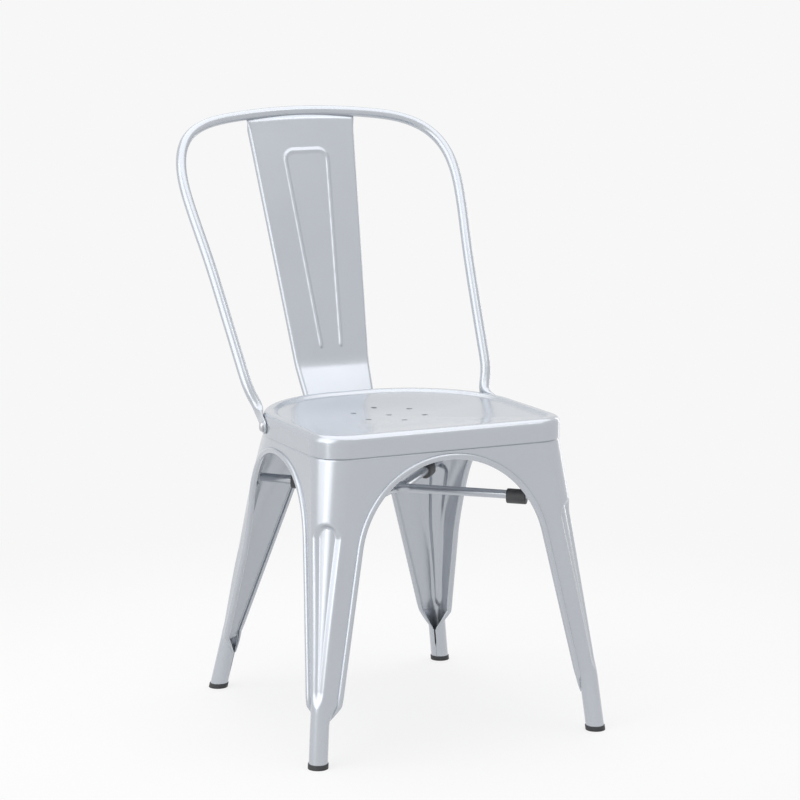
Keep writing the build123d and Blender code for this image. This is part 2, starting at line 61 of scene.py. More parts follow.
# A direction that none of the bars runs along.
ASKEW = (0.3, 0.5, 0.8)
WHITE = (1.0, 1.0, 1.0, 1.0)
Pair = tuple[float, float]
Triple = tuple[float, float, float]
Colour = tuple[float, float, float, float]
Points = np.ndarray
LOG = logging.getLogger("stacking_chair")


class End(Enum):
    """Which end of the chair a piece stands at, with the sign of its Y."""

    FRONT = -1
    REAR = 1


class Side(Enum):
    """Which side of the chair a piece stands on, with the sign of its X."""

    RIGHT = 1
    LEFT = -1


class Slot(Enum):
    """Material slots of the record."""

    PAINT = "paint"
    FOOT = "foot"
    SLEEVE = "sleeve"


class Value:
    """A shader socket that takes part in ordinary arithmetic."""

    def __init__(self, graph: "Graph", socket: bpy.types.NodeSocket) -> None:
        """Keep the socket and the graph that it belongs to."""
        self.graph = graph
        self.socket = socket

    def math(self, operation: str, one: Any, two: Any = 0.0) -> "Value":
        """Add one Math node.

        Args:
            operation: the Math node's operation.
            one: first number or value.
            two: second number or value.

        Returns:
            The node's result.
        """
        return self.graph.node("ShaderNodeMath", {"operation": operation}, {0: one, 1: two})

    def __add__(self, other: Any) -> "Value":
        """Sum of this and another."""
        return self.math("ADD", self, other)

    def __radd__(self, other: Any) -> "Value":
        """Sum of another and this."""
        return self.math("ADD", other, self)

    def __sub__(self, other: Any) -> "Value":
        """Difference of this and another."""
        return self.math("SUBTRACT", self, other)

    def __rsub__(self, other: Any) -> "Value":
        """Difference of another and this."""
        return self.math("SUBTRACT", other, self)

    def __mul__(self, other: Any) -> "Value":
        """Product of this and another."""
        return self.math("MULTIPLY", self, other)

    def __rmul__(self, other: Any) -> "Value":
        """Product of another and this."""
        return self.math("MULTIPLY", other, self)

    def __truediv__(self, other: Any) -> "Value":
        """This divided by another."""
        return self.math("DIVIDE", self, other)

    def at_most(self, other: Any) -> "Value":
        """The smaller of this and another."""
        return self.math("MINIMUM", self, other)

    def clamped(self) -> "Value":
        """This held between nought and one."""
        return self.graph.node("ShaderNodeClamp", {}, {"Value": self})


class Graph:
    """The node tree of one material or world."""

    def __init__(self, tree: bpy.types.NodeTree) -> None:
        """Take over a node tree and clear it."""
        self.tree = tree
        self.tree.nodes.clear()

    def node(self, kind: str, settings: dict, sockets: dict, output: int | str = 0) -> Value:
        """Add a node, set it up and join its sockets.

        Args:
            kind: the node's type name.
            settings: the node's own properties, which are set first.
            sockets: numbers, colours or values by socket name or number.
            output: which output to hand back.

        Returns:
            The chosen output as a value.
        """
        made = self.tree.nodes.new(kind)
        for key, setting in settings.items():
            setattr(made, key, setting)
        for key, value in sockets.items():
            if isinstance(value, Value):
                self.tree.links.new(value.socket, made.inputs[key])
            else:
                made.inputs[key].default_value = value
        return Value(self, made.outputs[output] if len(made.outputs) else None)

    def place(self) -> Value:
        """The point being shaded, in object coordinates."""
        return self.node("ShaderNodeTexCoord", {}, {}, "Object")

    def noise(self, scale: float, detail: float = 2.0, roughness: float = 0.5) -> Value:
        """Soft noise between nought and one at the given scale per metre."""
        sockets = {"Vector": self.place(), "Scale": scale, "Detail": detail, "Roughness": roughness}
        return self.node("ShaderNodeTexNoise", {}, sockets)

    def blend(self, share: Any, one: Any, two: Any) -> Value:
        """Mix two colours by a share.

        Args:
            share: nought gives the first colour, one gives the second.
            one: first colour.
            two: second colour.

        Returns:
            The mixed colour.
        """
        return self.node("ShaderNodeMix", {"data_type": "RGBA"}, {0: share, 6: one, 7: two}, 2)

    def bump(self, height: Value, strength: float, distance: float) -> Value:
        """Turn a height into a normal."""
        sockets = {"Height": height, "Strength": strength, "Distance": distance}
        return self.node("ShaderNodeBump", {}, sockets)

    def surface(self, sockets: dict) -> None:
        """Finish the material with a Principled shader."""
        shader = self.node("ShaderNodeBsdfPrincipled", {}, sockets)
        self.node("ShaderNodeOutputMaterial", {}, {"Surface": shader})


def new_material(name: str) -> tuple[bpy.types.Material, Graph]:
    """Make an empty node material.

    Args:
        name: the material's name.

    Returns:
        The material and the graph to fill.
    """
    material = bpy.data.materials.new(name)
    material.use_nodes = True
    return material, Graph(material.node_tree)


@dataclass(frozen=True)
class PaintFinish:
    """Sprayed silver paint: fine flake, faint orange peel and a thin clear coat.

    Attributes:
        light: colour of the brightest flake.
        dark: colour of the dullest flake.
        flake_share: how much of the colour's change is flake; the rest is slow drift.
        rough_drift: how far the drift spreads the roughness.
        rough_flake: how far the flake spreads it.
        peel: strength and depth of the orange peel.
    """

    name: str = "silver_paint"
    light: Colour = (0.575, 0.605, 0.65, 1.0)
    dark: Colour = (0.495, 0.522, 0.565, 1.0)
    metallic: float = 0.68
    roughness: float = 0.24
    flake_scale: float = 2600.0
    peel_scale: float = 420.0
    drift_scale: float = 9.0
    flake_share: float = 0.55
    rough_drift: float = 0.09
    rough_flake: float = 0.05
    peel: Pair = (0.05, 0.0004)
    coat: float = 0.25
    coat_roughness: float = 0.12

    def material(self) -> bpy.types.Material:
        """Build the paint's material.

        Returns:
            The material, its roughness spread about the finish's own.
        """
        material, graph = new_material(self.name)
        flake = graph.noise(self.flake_scale, detail=1.0)
        drift = graph.noise(self.drift_scale, detail=3.0)
        peel = graph.noise(self.peel_scale)
        tone = (flake * self.flake_share + drift * (1 - self.flake_share)).clamped()
        colour = graph.blend(tone, self.dark, self.light)
        smoothest = self.roughness - (self.rough_drift + self.rough_flake) / 2
        rough = smoothest + self.rough_drift * drift + self.rough_flake * flake
        normal = graph.bump(peel, *self.peel)
        graph.surface({"Base Color": colour, "Metallic": self.metallic, "Roughness": rough,
                       "Normal": normal, "Coat Weight": self.coat,
                       "Coat Roughness": self.coat_roughness})
        return material


@dataclass(frozen=True)
class RubberFinish:
    """Moulded rubber or plastic in dark grey with a fine grain and scuffed lighter spots.

    Attributes:
        light: colour where it is scuffed.
        dark: colour where it is not.
        scuff_start: how strong the scuff noise is where scuffs begin.
        scuff_gain: how quickly they become light.
        grain_share: how much of the colour's change is grain.
        rough_drop: how far a clean spot's roughness lies below the finish's own.
        rough_scuff: how much roughness a scuff adds.
        grain_bump: strength and depth of the grain.
    """

    name: str
    light: Colour
    dark: Colour
    roughness: float = 0.55
    grain_scale: float = 1500.0
    scuff_scale: float = 60.0
    scuff_start: float = 0.35
    scuff_gain: float = 1.6
    grain_share: float = 0.2
    rough_drop: float = 0.08
    rough_scuff: float = 0.2
    grain_bump: Pair = (0.12, 0.0003)

    def material(self) -> bpy.types.Material:
        """Build the moulding's material.

        Returns:
            The material, lighter and duller where it is scuffed.
        """
        material, graph = new_material(self.name)
        grain = graph.noise(self.grain_scale)
        scuff = graph.noise(self.scuff_scale, detail=5.0, roughness=0.65)
        tone = ((scuff - self.scuff_start) * self.scuff_gain + grain * self.grain_share).clamped()
        colour = graph.blend(tone, self.dark, self.light)
        rough = self.roughness - self.rough_drop + self.rough_scuff * scuff
        normal = graph.bump(grain, *self.grain_bump)
        graph.surface({"Base Color": colour, "Roughness": rough, "Normal": normal})
        return material


@dataclass(frozen=True)
class ZincFinish:
    """Bright zinc plate on bolts, washers and nuts.

    Attributes:
        cloud_gain: contrast of the plating's clouds.
        cloud_start: how much is taken off them, so that the faintest stay dark.
        rough_cloud: how far the clouds spread the roughness.
        grain_bump: strength and depth of the grain.
    """

    name: str = "zinc_plate"
    light: Colour = (0.66, 0.67, 0.69, 1.0)
    dark: Colour = (0.42, 0.43, 0.45, 1.0)
    roughness: float = 0.3
    cloud_scale: float = 180.0
    cloud_gain: float = 1.4
    cloud_start: float = 0.2
    rough_cloud: float = 0.12
    grain_scale: float = 1800.0
    grain_bump: Pair = (0.05, 0.0002)

    def material(self) -> bpy.types.Material:
        """Build the plating's material.

        Returns:
            The material, clouded as plating is.
        """
        material, graph = new_material(self.name)
        cloud = graph.noise(self.cloud_scale, detail=4.0, roughness=0.6)
        grain = graph.noise(self.grain_scale, detail=1.0)
        tone = (cloud * self.cloud_gain - self.cloud_start).clamped()
        colour = graph.blend(tone, self.dark, self.light)
        rough = self.roughness - self.rough_cloud / 2 + self.rough_cloud * cloud
        normal = graph.bump(grain, *self.grain_bump)
        graph.surface({"Base Color": colour, "Metallic": 1.0, "Roughness": rough, "Normal": normal})
        return material


@dataclass(frozen=True)
class Bench:
    """Adds meshes with Blender's own tools and finishes them.

    Attributes:
        shift: Y of the seat's middle in the shared frame, in metres.
    """

    shift: float

    def placed(self, points: Points) -> Points:
        """Millimetres about the seat's middle as metres in the shared frame."""
        return points * MM + np.array((0.0, self.shift, 0.0))

    def lattice(self, name: str, points: Points, closed: bool = False,
                flip: bool = False) -> bpy.types.Object:
        """Add a grid and lay its points on a surface.

        Args:
            name: the piece's name.
            points: rows by columns by three, in millimetres.
            closed: True where the surface closes on itself, so its faces are turned outwards.
            flip: True to turn an open sheet's faces over.

        Returns:
            The new mesh object.
        """
        rows, columns = points.shape[:2]
        bpy.ops.object.select_all(action="DESELECT")
        bpy.ops.mesh.primitive_grid_add(x_subdivisions=columns - 1, y_subdivisions=rows - 1,
                                        size=1.0)
        piece = bpy.context.object
        piece.name = name
        piece.data.name = name
        flat = np.empty(len(piece.data.vertices) * 3)
        piece.data.vertices.foreach_get("co", flat)
        spots = flat.reshape(-1, 3)
        across = np.rint((spots[:, 0] + 0.5) * (columns - 1)).astype(int)
        along = np.rint((spots[:, 1] + 0.5) * (rows - 1)).astype(int)
        piece.data.vertices.foreach_set("co", self.placed(points[along, across]).ravel())
        self.clean(piece, closed, flip)
        return piece

    def clean(self, piece: bpy.types.Object, closed: bool, flip: bool = False) -> None:
        """Merge doubled points and turn the faces.

        Args:
            piece: the mesh object, which is active.
            closed: True to turn all faces outwards.
            flip: True to turn all faces over.
        """
        bpy.context.view_layer.objects.active = piece
        bpy.ops.object.mode_set(mode="EDIT")
        bpy.ops.mesh.select_all(action="SELECT")
        bpy.ops.mesh.remove_doubles(threshold=MERGE)
        if closed:
            bpy.ops.mesh.normals_make_consistent(inside=False)
        if flip:
            bpy.ops.mesh.flip_normals()
        bpy.ops.object.mode_set(mode="OBJECT")

    def modify(self, piece: bpy.types.Object, kind: str, **settings: Any) -> None:
        """Add a modifier and apply it.

        Args:
            piece: the mesh object.
            kind: the modifier's type.
            **settings: its properties.
        """
        self.choose(piece)
        modifier = piece.modifiers.new(kind.lower(), kind)
        for key, setting in settings.items():
            setattr(modifier, key, setting)
        bpy.ops.object.modifier_apply(modifier=modifier.name)

    def thicken(self, piece: bpy.types.Object) -> None:
        """Give a sheet its thickness on the inner side."""
        self.modify(piece, "SOLIDIFY", thickness=SHEET * MM, offset=-1.0)

    def choose(self, piece: bpy.types.Object) -> None:
        """Select one object alone and make it active.

        Args:
            piece: the object.
        """
        bpy.ops.object.select_all(action="DESELECT")
        piece.select_set(True)
        bpy.context.view_layer.objects.active = piece

    def join(self, first: bpy.types.Object, *others: bpy.types.Object) -> None:
        """Join meshes into the first one.

        Args:
            first: the object that stays.
            *others: the objects that become part of it.
        """
        self.choose(first)
        for other in others:
            other.select_set(True)
        bpy.ops.object.join()

    def dress(self, piece: bpy.types.Object, material: bpy.types.Material, slot: Slot, *nodes: str,
              angle: float = 35.0) -> None:
        """Shade and paint a finished piece, hang it under the root body and hide the CAD nodes it
        stands for.

        Args:
            piece: the mesh object.
            material: its finish.
            slot: not used.
            *nodes: CAD nodes that the piece stands for.
            angle: edges sharper than this many degrees stay crisp.
        """
        self.choose(piece)
        bpy.ops.object.shade_smooth_by_angle(angle=math.radians(angle))
        piece.data.materials.clear()
        piece.data.materials.append(material)
        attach(piece, "root")
        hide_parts(*nodes)


def smooth_line(nodes: Points, count: int) -> Points:
    """Lay a smooth curve through nodes.

    Args:
        nodes: points to pass through.
        count: how many points to give back, even along the curve.

    Returns:
        Points on a natural cubic curve, by chord length.
    """
    gaps = np.linalg.norm(np.diff(nodes, axis=0), axis=1)
    knots = np.concatenate(([0.0], np.cumsum(gaps)))
    size = len(nodes)
    matrix = np.eye(size)
    right = np.zeros_like(nodes)
    for i in range(1, size - 1):
        matrix[i, i - 1:i + 2] = (gaps[i - 1], 2 * (gaps[i - 1] + gaps[i]), gaps[i])
        ahead = (nodes[i + 1] - nodes[i]) / gaps[i]
        back = (nodes[i] - nodes[i - 1]) / gaps[i - 1]
        right[i] = 6 * (ahead - back)
    curl = np.linalg.solve(matrix, right)
    spots = np.linspace(0.0, knots[-1], count)
    span = np.clip(np.searchsorted(knots, spots, side="right") - 1, 0, size - 2)
    gap = gaps[span][:, None]
    back = (spots - knots[span])[:, None]
    ahead = gap - back
    bent = (curl[span] * ahead**3 + curl[span + 1] * back**3) / (6 * gap)
    start = (nodes[span] / gap - curl[span] * gap / 6) * ahead
    stop = (nodes[span + 1] / gap - curl[span + 1] * gap / 6) * back
    return bent + start + stop


@dataclass
class Rod:
    """A bar along a line, whose section may change on the way.

    Attributes:
        line: points along the middle of the bar.
        first: direction of the section's wide axis at the start.
        wide: half size along that axis at every point.
        thick: half size across it at every point.
        power: shape of the section at every point; 2 is round and more is squarer.
        groove: angle round the section of a groove along the bar, where it has one.
        groove_depth: the groove's depth as a share of the section.
        groove_wide: the groove's width as an angle.
    """

    line: Points
    first: Points
    wide: Points
    thick: Points
    power: Points
    groove: float | None = None
    groove_depth: float = 0.62
    groove_wide: float = 0.3

    @classmethod
    def round(cls, line: Points, radius: float) -> "Rod":
        """A plain round bar along a line.

        Args:
            line: points along its middle.
            radius: its radius.

        Returns:
            The bar.
        """
        size = len(line)
        way = line[1] - line[0]
        first = np.cross(way, ASKEW)
        return cls(line, first, np.full(size, radius), np.full(size, radius), np.full(size, 2.0))

    def axes(self) -> tuple[Points, Points, Points]:
        """Carry the section's axes along the line without twist.

        Returns:
            Directions along the line, along the wide axis and across it, at every point.
        """
        ways = np.gradient(self.line, axis=0)
        ways /= np.linalg.norm(ways, axis=1)[:, None]
        sides = np.empty_like(ways)
        side = np.asarray(self.first, dtype=float)
        for i, way in enumerate(ways):
            side = side - way * side.dot(way)
            side = side / np.linalg.norm(side)
            sides[i] = side
        return ways, sides, np.cross(ways, sides)

    def rings(self, sides: int, cap_start: float = 0.0) -> Points:
        """Points of the bar's surface.

        Args:
            sides: points round the section.
            cap_start: how far a rounded start stands out; nought leaves it flat.

        Returns:
            Stations by points round by three, with both ends closed.
        """
        axes = self.axes()
        angles = np.linspace(0.0, 2 * math.pi, sides + 1)
        lines = [self.ring(i, 1.0, 0.0, angles, axes) for i in range(len(self.line))]
        turns = np.linspace(0.0, math.pi / 2, CAP_ROWS + 1)[1:]
        for turn in turns:
            scale = 0.0 if turn == turns[-1] else math.cos(turn)
            lines.insert(0, self.ring(0, scale, -math.sin(turn) * cap_start, angles, axes))
            lines.append(self.ring(-1, scale, 0.0, angles, axes))
        return np.array(lines)

    def ring(self, at: int, scale: float, step: float, angles: Points,
             axes: tuple[Points, Points, Points]) -> Points:
        """One closed section of the bar.

        Args:
            at: number of the point on the line.
            scale: share of the section's full size.
            step: how far it is moved along the line.
            angles: places round the section.
            axes: what axes() gave.

        Returns:
            One point for each angle.
        """
        ways, wide_way, thick_way = axes
        share = 2.0 / self.power[at]
        size = np.full_like(angles, scale)
        if self.groove is not None:
            off = (angles - self.groove + math.pi) % (2 * math.pi) - math.pi
            size = scale * (1 - self.groove_depth * np.exp(-((off / self.groove_wide) ** 2)))
        across = np.sign(np.cos(angles)) * np.abs(np.cos(angles)) ** share * self.wide[at] * size
        over = np.sign(np.sin(angles)) * np.abs(np.sin(angles)) ** share * self.thick[at] * size
        middle = self.line[at] + ways[at] * step
        return middle + across[:, None] * wide_way[at] + over[:, None] * thick_way[at]


@dataclass(frozen=True)
class Press:
    """The shape the frame is pressed to: leaning faces with a round at each corner.

    Attributes:
        skirt_low: height of the skirt's lower edge, where the legs come out.
        flare: height from which the corners grow out of the foot tubes.
        tube_radius: radius of a foot tube.
        half_width: half the frame's width at the skirt.
        half_depth: half its depth there.
        front_foot: X and Y of a front foot's middle on the floor.
        rear_foot: the same for a rear foot.
        front_round: radius of the front corners at the skirt.
        rear_round: radius of the rear corners there.
        rear_curve: power by which the rear round grows; more keeps it narrow for longer.
        rear_kick: how far a rear leg is drawn in by the top of its foot tube.
        rear_pinch: how much further it is drawn in above that.
        pinch_curve: power by which that grows.
        pinch_end: share of the way up from which it runs out again.
        pinch_fade: power by which it runs out.
    """

    skirt_low: float = 414.0
    flare: float = 78.0
    tube_radius: float = 13.0
    half_width: float = 187.5
    half_depth: float = 169.5
    front_foot: Pair = (214.0, 204.0)
    rear_foot: Pair = (184.0, 231.0)
    front_round: float = 44.5
    rear_round: float = 163.5
    rear_curve: float = 2.6
    rear_kick: float = 12.0
    rear_pinch: float = 21.0
    pinch_curve: float = 0.8
    pinch_end: float = 0.42
    pinch_fade: float = 1.3

    def lean(self, z: Any, top: float, floor: float) -> Any:
        """Straight change from one size at the skirt to another at the floor."""
        return top + (floor - top) * (self.skirt_low - z) / self.skirt_low

    def corner(self, end: End, z: Any) -> tuple[Any, Any, Any]:
        """Right-hand corner round at one end.

        Args:
            end: front or rear.
            z: heights.

        Returns:
            The centre's X, the centre's distance from the seat's middle along Y, and the radius.
        """
        rise = np.maximum(0.0, (z - self.flare) / (self.skirt_low - self.flare))
        if end is End.FRONT:
            foot = self.front_foot
            radius = self.tube_radius + (self.front_round - self.tube_radius) * rise
            pinch = 0.0
        else:
            foot = self.rear_foot
            radius = self.tube_radius + (self.rear_round - self.tube_radius) * rise**self.rear_curve
            kick = self.rear_kick * np.clip(z / self.flare, 0.0, 1.0)
            ease = np.clip((rise - self.pinch_end) / (1 - self.pinch_end), 0.0, 1.0)
            pinch = (kick + self.rear_pinch * rise**self.pinch_curve) * (1 - ease**self.pinch_fade)
        x = self.lean(z, self.half_width, foot[0] + self.tube_radius) - pinch - radius
        y = self.lean(z, self.half_depth, foot[1] + self.tube_radius) - radius
        return x, y, radius

    def depth(self, end: End, x: Any, z: Any) -> Any:
        """Where the end face stands.

        Args:
            end: front or rear.
            x: distances to either side of the middle.
            z: heights.

        Returns:
            Distance of the face from the seat's middle along Y.
        """
        centre, out, radius = self.corner(end, z)
        over = np.maximum(0.0, np.abs(x) - centre)
        return out + np.sqrt(np.maximum(0.0, radius**2 - over**2))

    def reach(self, end: End, distance: Any, z: Any) -> Any:
        """Where the right-hand face stands.

        Args:
            end: front or rear.
            distance: distances from the seat's middle towards that end.
            z: heights.

        Returns:
            X of the face.
        """
        x, y, radius = self.corner(end, z)
        other = End.REAR if end is End.FRONT else End.FRONT
        other_x, other_y, other_radius = self.corner(other, z)
        share = (y - distance) / (y + other_y)
        straight = (x + radius) * (1 - share) + (other_x + other_radius) * share
        over = np.maximum(0.0, distance - y)
        bent = x + np.sqrt(np.maximum(0.0, radius**2 - over**2))
        return np.where(distance > y, bent, straight)


@dataclass(frozen=True)
class HalfArch:
    """Half of an arch between two legs: a straight flank that runs into a round crown.

    Attributes:
        radius: radius of the crown at the middle of the rolled edge.
        centre: height of the crown's centre.
        foot: distance of the flank's foot from the arch's middle.
        low: height of that foot.
    """

    radius: float
    centre: float
    foot: float
    low: float = 78.0

    def touch_angle(self) -> float:
        """Angle on the crown where the flank touches it."""
        drop = self.low - self.centre
        return math.atan2(drop, self.foot) + math.acos(self.radius / math.hypot(self.foot, drop))

    def touch(self) -> tuple[float, float]:
        """Where the flank touches the crown."""
        angle = self.touch_angle()
        return self.radius * math.cos(angle), self.centre + self.radius * math.sin(angle)

    def edge(self, z: Points) -> Points:
        """The opening's edge.

        Args:
            z: heights.

        Returns:
            Distance of the edge from the opening's middle at each height.
        """
        width, height = self.touch()
        flank = self.foot + (width - self.foot) * (z - self.low) / (height - self.low)
        crown = np.sqrt(np.maximum(0.0, self.radius**2 - (z - self.centre) ** 2))
        return np.where(z < height, flank, np.where(z < self.centre + self.radius, crown, 0.0))

    def heights(self) -> Points:
        """Heights that follow the crown closely."""
        angles = np.concatenate((np.arange(30.0, 84.0, 3.0), np.arange(84.0, 90.1, 1.5)))
        return self.centre + self.radius * np.sin(np.radians(angles))

    def rim(self, start: float = 0.03) -> Points:
        """Points on the edge from the flank's foot up to the crown's top.

        Args:
            start: share of the flank to leave out at its foot.

        Returns:
            Pairs of distance from the middle and height.
        """
        touch = np.array(self.touch())
        foot = np.array((self.foot, self.low))
        shares = np.linspace(start, 1.0, 30)[:-1]
        flank = foot + (touch - foot) * shares[:, None]
        angles = np.linspace(self.touch_angle(), math.pi / 2, 48)
        crown = np.stack((np.cos(angles), np.sin(angles)), axis=1) * self.radius + (0.0, self.centre)
        return np.concatenate((flank, crown))


@dataclass(frozen=True)
class SeatPan:
    """Dished seat with a rounded rim, a turned-down skirt and drain holes.

    Attributes:
        front_round: radius of the plan's front corners.
        rear_round: radius of its rear corners.
        skirt_rows: rings on the skirt.
        rim: radius of the rim between the skirt and the top.
        rim_turn: degrees between the rings on the rim.
        step_start: inset at which the top begins to step down.
        step_wide: how far the step runs in.
        step_depth: how far it goes down.
        ring_step: distance between the rings on the step.
        dish_depth: how far the dish goes down from the foot of the step.
        dish_curve: power of the dish's flank.
        dish_rows: rings across the dish, counting its edge.
        hole: radius of a drain hole.
        hole_sides: points round a drain hole.
        hole_pitch: distance of the outer holes from the middle one.
        hole_y: Y of the middle hole.
        punch_long: length of the punch that cuts a hole.
    """

    half_width: float = 189.0
    half_depth: float = 171.0
    top: float = 444.0
    skirt_low: float = 414.0
    front_round: float = 46.0
    rear_round: float = 165.0
    skirt_rows: int = 6
    rim: float = 10.0
    rim_turn: float = 9.0
    step_start: float = 14.0
    step_wide: float = 9.0
    step_depth: float = 4.2
    ring_step: float = 1.25
    dish_depth: float = 9.5
    dish_curve: float = 1.5
    dish_rows: int = 44
    hole: float = 4.25
    hole_sides: int = 40
    hole_pitch: float = 51.0
    hole_y: float = 24.0
    punch_long: float = 40.0

    def outline(self, inset: float) -> Points:
        """Plan of the seat, once round from the right of the front edge.

        Args:
            inset: how far the plan is drawn in.

        Returns:
            Pairs of X and Y, the last the same as the first.
        """
        # Signs of each corner's place, its radius, first angle in degrees and number of bends.
        corners = ((1, -1, self.front_round, -90, 24), (1, 1, self.rear_round, 0, 60),
                   (-1, 1, self.rear_round, 90, 60), (-1, -1, self.front_round, 180, 24))
        straights = (24, 12, 24, 44)
        arcs = []
        for x, y, radius, start, bends in corners:
            centre = np.array((x * (self.half_width - radius), y * (self.half_depth - radius)))
            angles = np.radians(np.linspace(start, start + 90, bends + 1))
            arc = np.stack((np.cos(angles), np.sin(angles)), axis=1) * (radius - inset)
            arcs.append(centre + arc)
        ring = []
        for i, (arc, steps) in enumerate(zip(arcs, straights)):
            after = arcs[(i + 1) % len(arcs)][0]
            shares = np.linspace(0.0, 1.0, steps + 1)[1:-1, None]
            ring.append(arc)
            ring.append(arc[-1] + (after - arc[-1]) * shares)
        ring.append(arcs[0][:1])
        return np.concatenate(ring)

    def dish(self, inset: float) -> float:
        """Height of the seat's top at one inset from its outline, down to the foot of the step."""
        share = min(1.0, max(0.0, (inset - self.step_start) / self.step_wide))
        return self.top - self.step_depth * share**2 * (3 - 2 * share)

    def rings(self) -> Points:
        """Points of the outer face from the skirt's edge in to the middle drain hole.

        Returns:
            Rings by points round by three.
        """
        rows = []
        for z in np.linspace(self.skirt_low, self.top - self.rim, self.skirt_rows):
            rows.append(self.level(self.outline(0.0), z))
        for angle in np.radians(np.arange(self.rim_turn, 90.1, self.rim_turn)):
            ring = self.outline(self.rim * (1 - math.cos(angle)))
            rows.append(self.level(ring, self.top - self.rim * (1 - math.sin(angle))))
        # From just inside the rim to just past the step.
        step_stop = self.step_start + self.step_wide
        insets = np.arange(self.rim + 1.0, step_stop + 5.0, self.ring_step)
        for inset in insets:
            rows.append(self.level(self.outline(inset), self.dish(inset)))
        edge = self.outline(insets[-1])
        turn = np.arctan2(edge[:, 1], edge[:, 0])
        circle = np.stack((np.cos(turn), np.sin(turn)), axis=1) * self.hole + (0.0, self.hole_y)
        floor = self.top - self.step_depth
        for share in np.linspace(0.0, 1.0, self.dish_rows)[1:]:
            sink = self.dish_depth * (1 - (1 - share) ** 2) ** self.dish_curve
            rows.append(self.level(edge + (circle - edge) * share, floor - sink))
        return np.array(rows)

    @staticmethod
    def level(ring: Points, z: float) -> Points:
        """A plan ring lifted to one height."""
        return np.column_stack((ring, np.full(len(ring), z)))

    def build(self, bench: Bench, paint: bpy.types.Material) -> bpy.types.Object:
        """Model the seat pan.

        Args:
            bench: where meshes are made.
            paint: the seat's finish.

        Returns:
            The finished piece.
        """
        pan = bench.lattice("seat_pan_skin", self.rings())
        bench.thicken(pan)
        for turn in range(90, 450, 60):
            angle = math.radians(turn)
            spot = np.array((math.cos(angle), math.sin(angle), 0.0)) * self.hole_pitch
            self.punch(bench, pan, spot + (0.0, self.hole_y, self.top))
        bench.dress(pan, paint, Slot.PAINT, "seat_pan", angle=40.0)
        return pan

    def punch(self, bench: Bench, pan: bpy.types.Object, spot: Points) -> None:
        """Cut one drain hole.

        Args:
            bench: where meshes are made.
            pan: the seat.
            spot: the hole's place on the seat.
        """
        bpy.ops.object.select_all(action="DESELECT")
        place = bench.placed(spot)
        bpy.ops.mesh.primitive_cylinder_add(vertices=self.hole_sides, radius=self.hole * MM,
                                            depth=self.punch_long * MM, location=place)
        punch = bpy.context.object
        bench.modify(pan, "BOOLEAN", operation="DIFFERENCE", object=punch, solver="EXACT")
        bpy.data.objects.remove(punch)


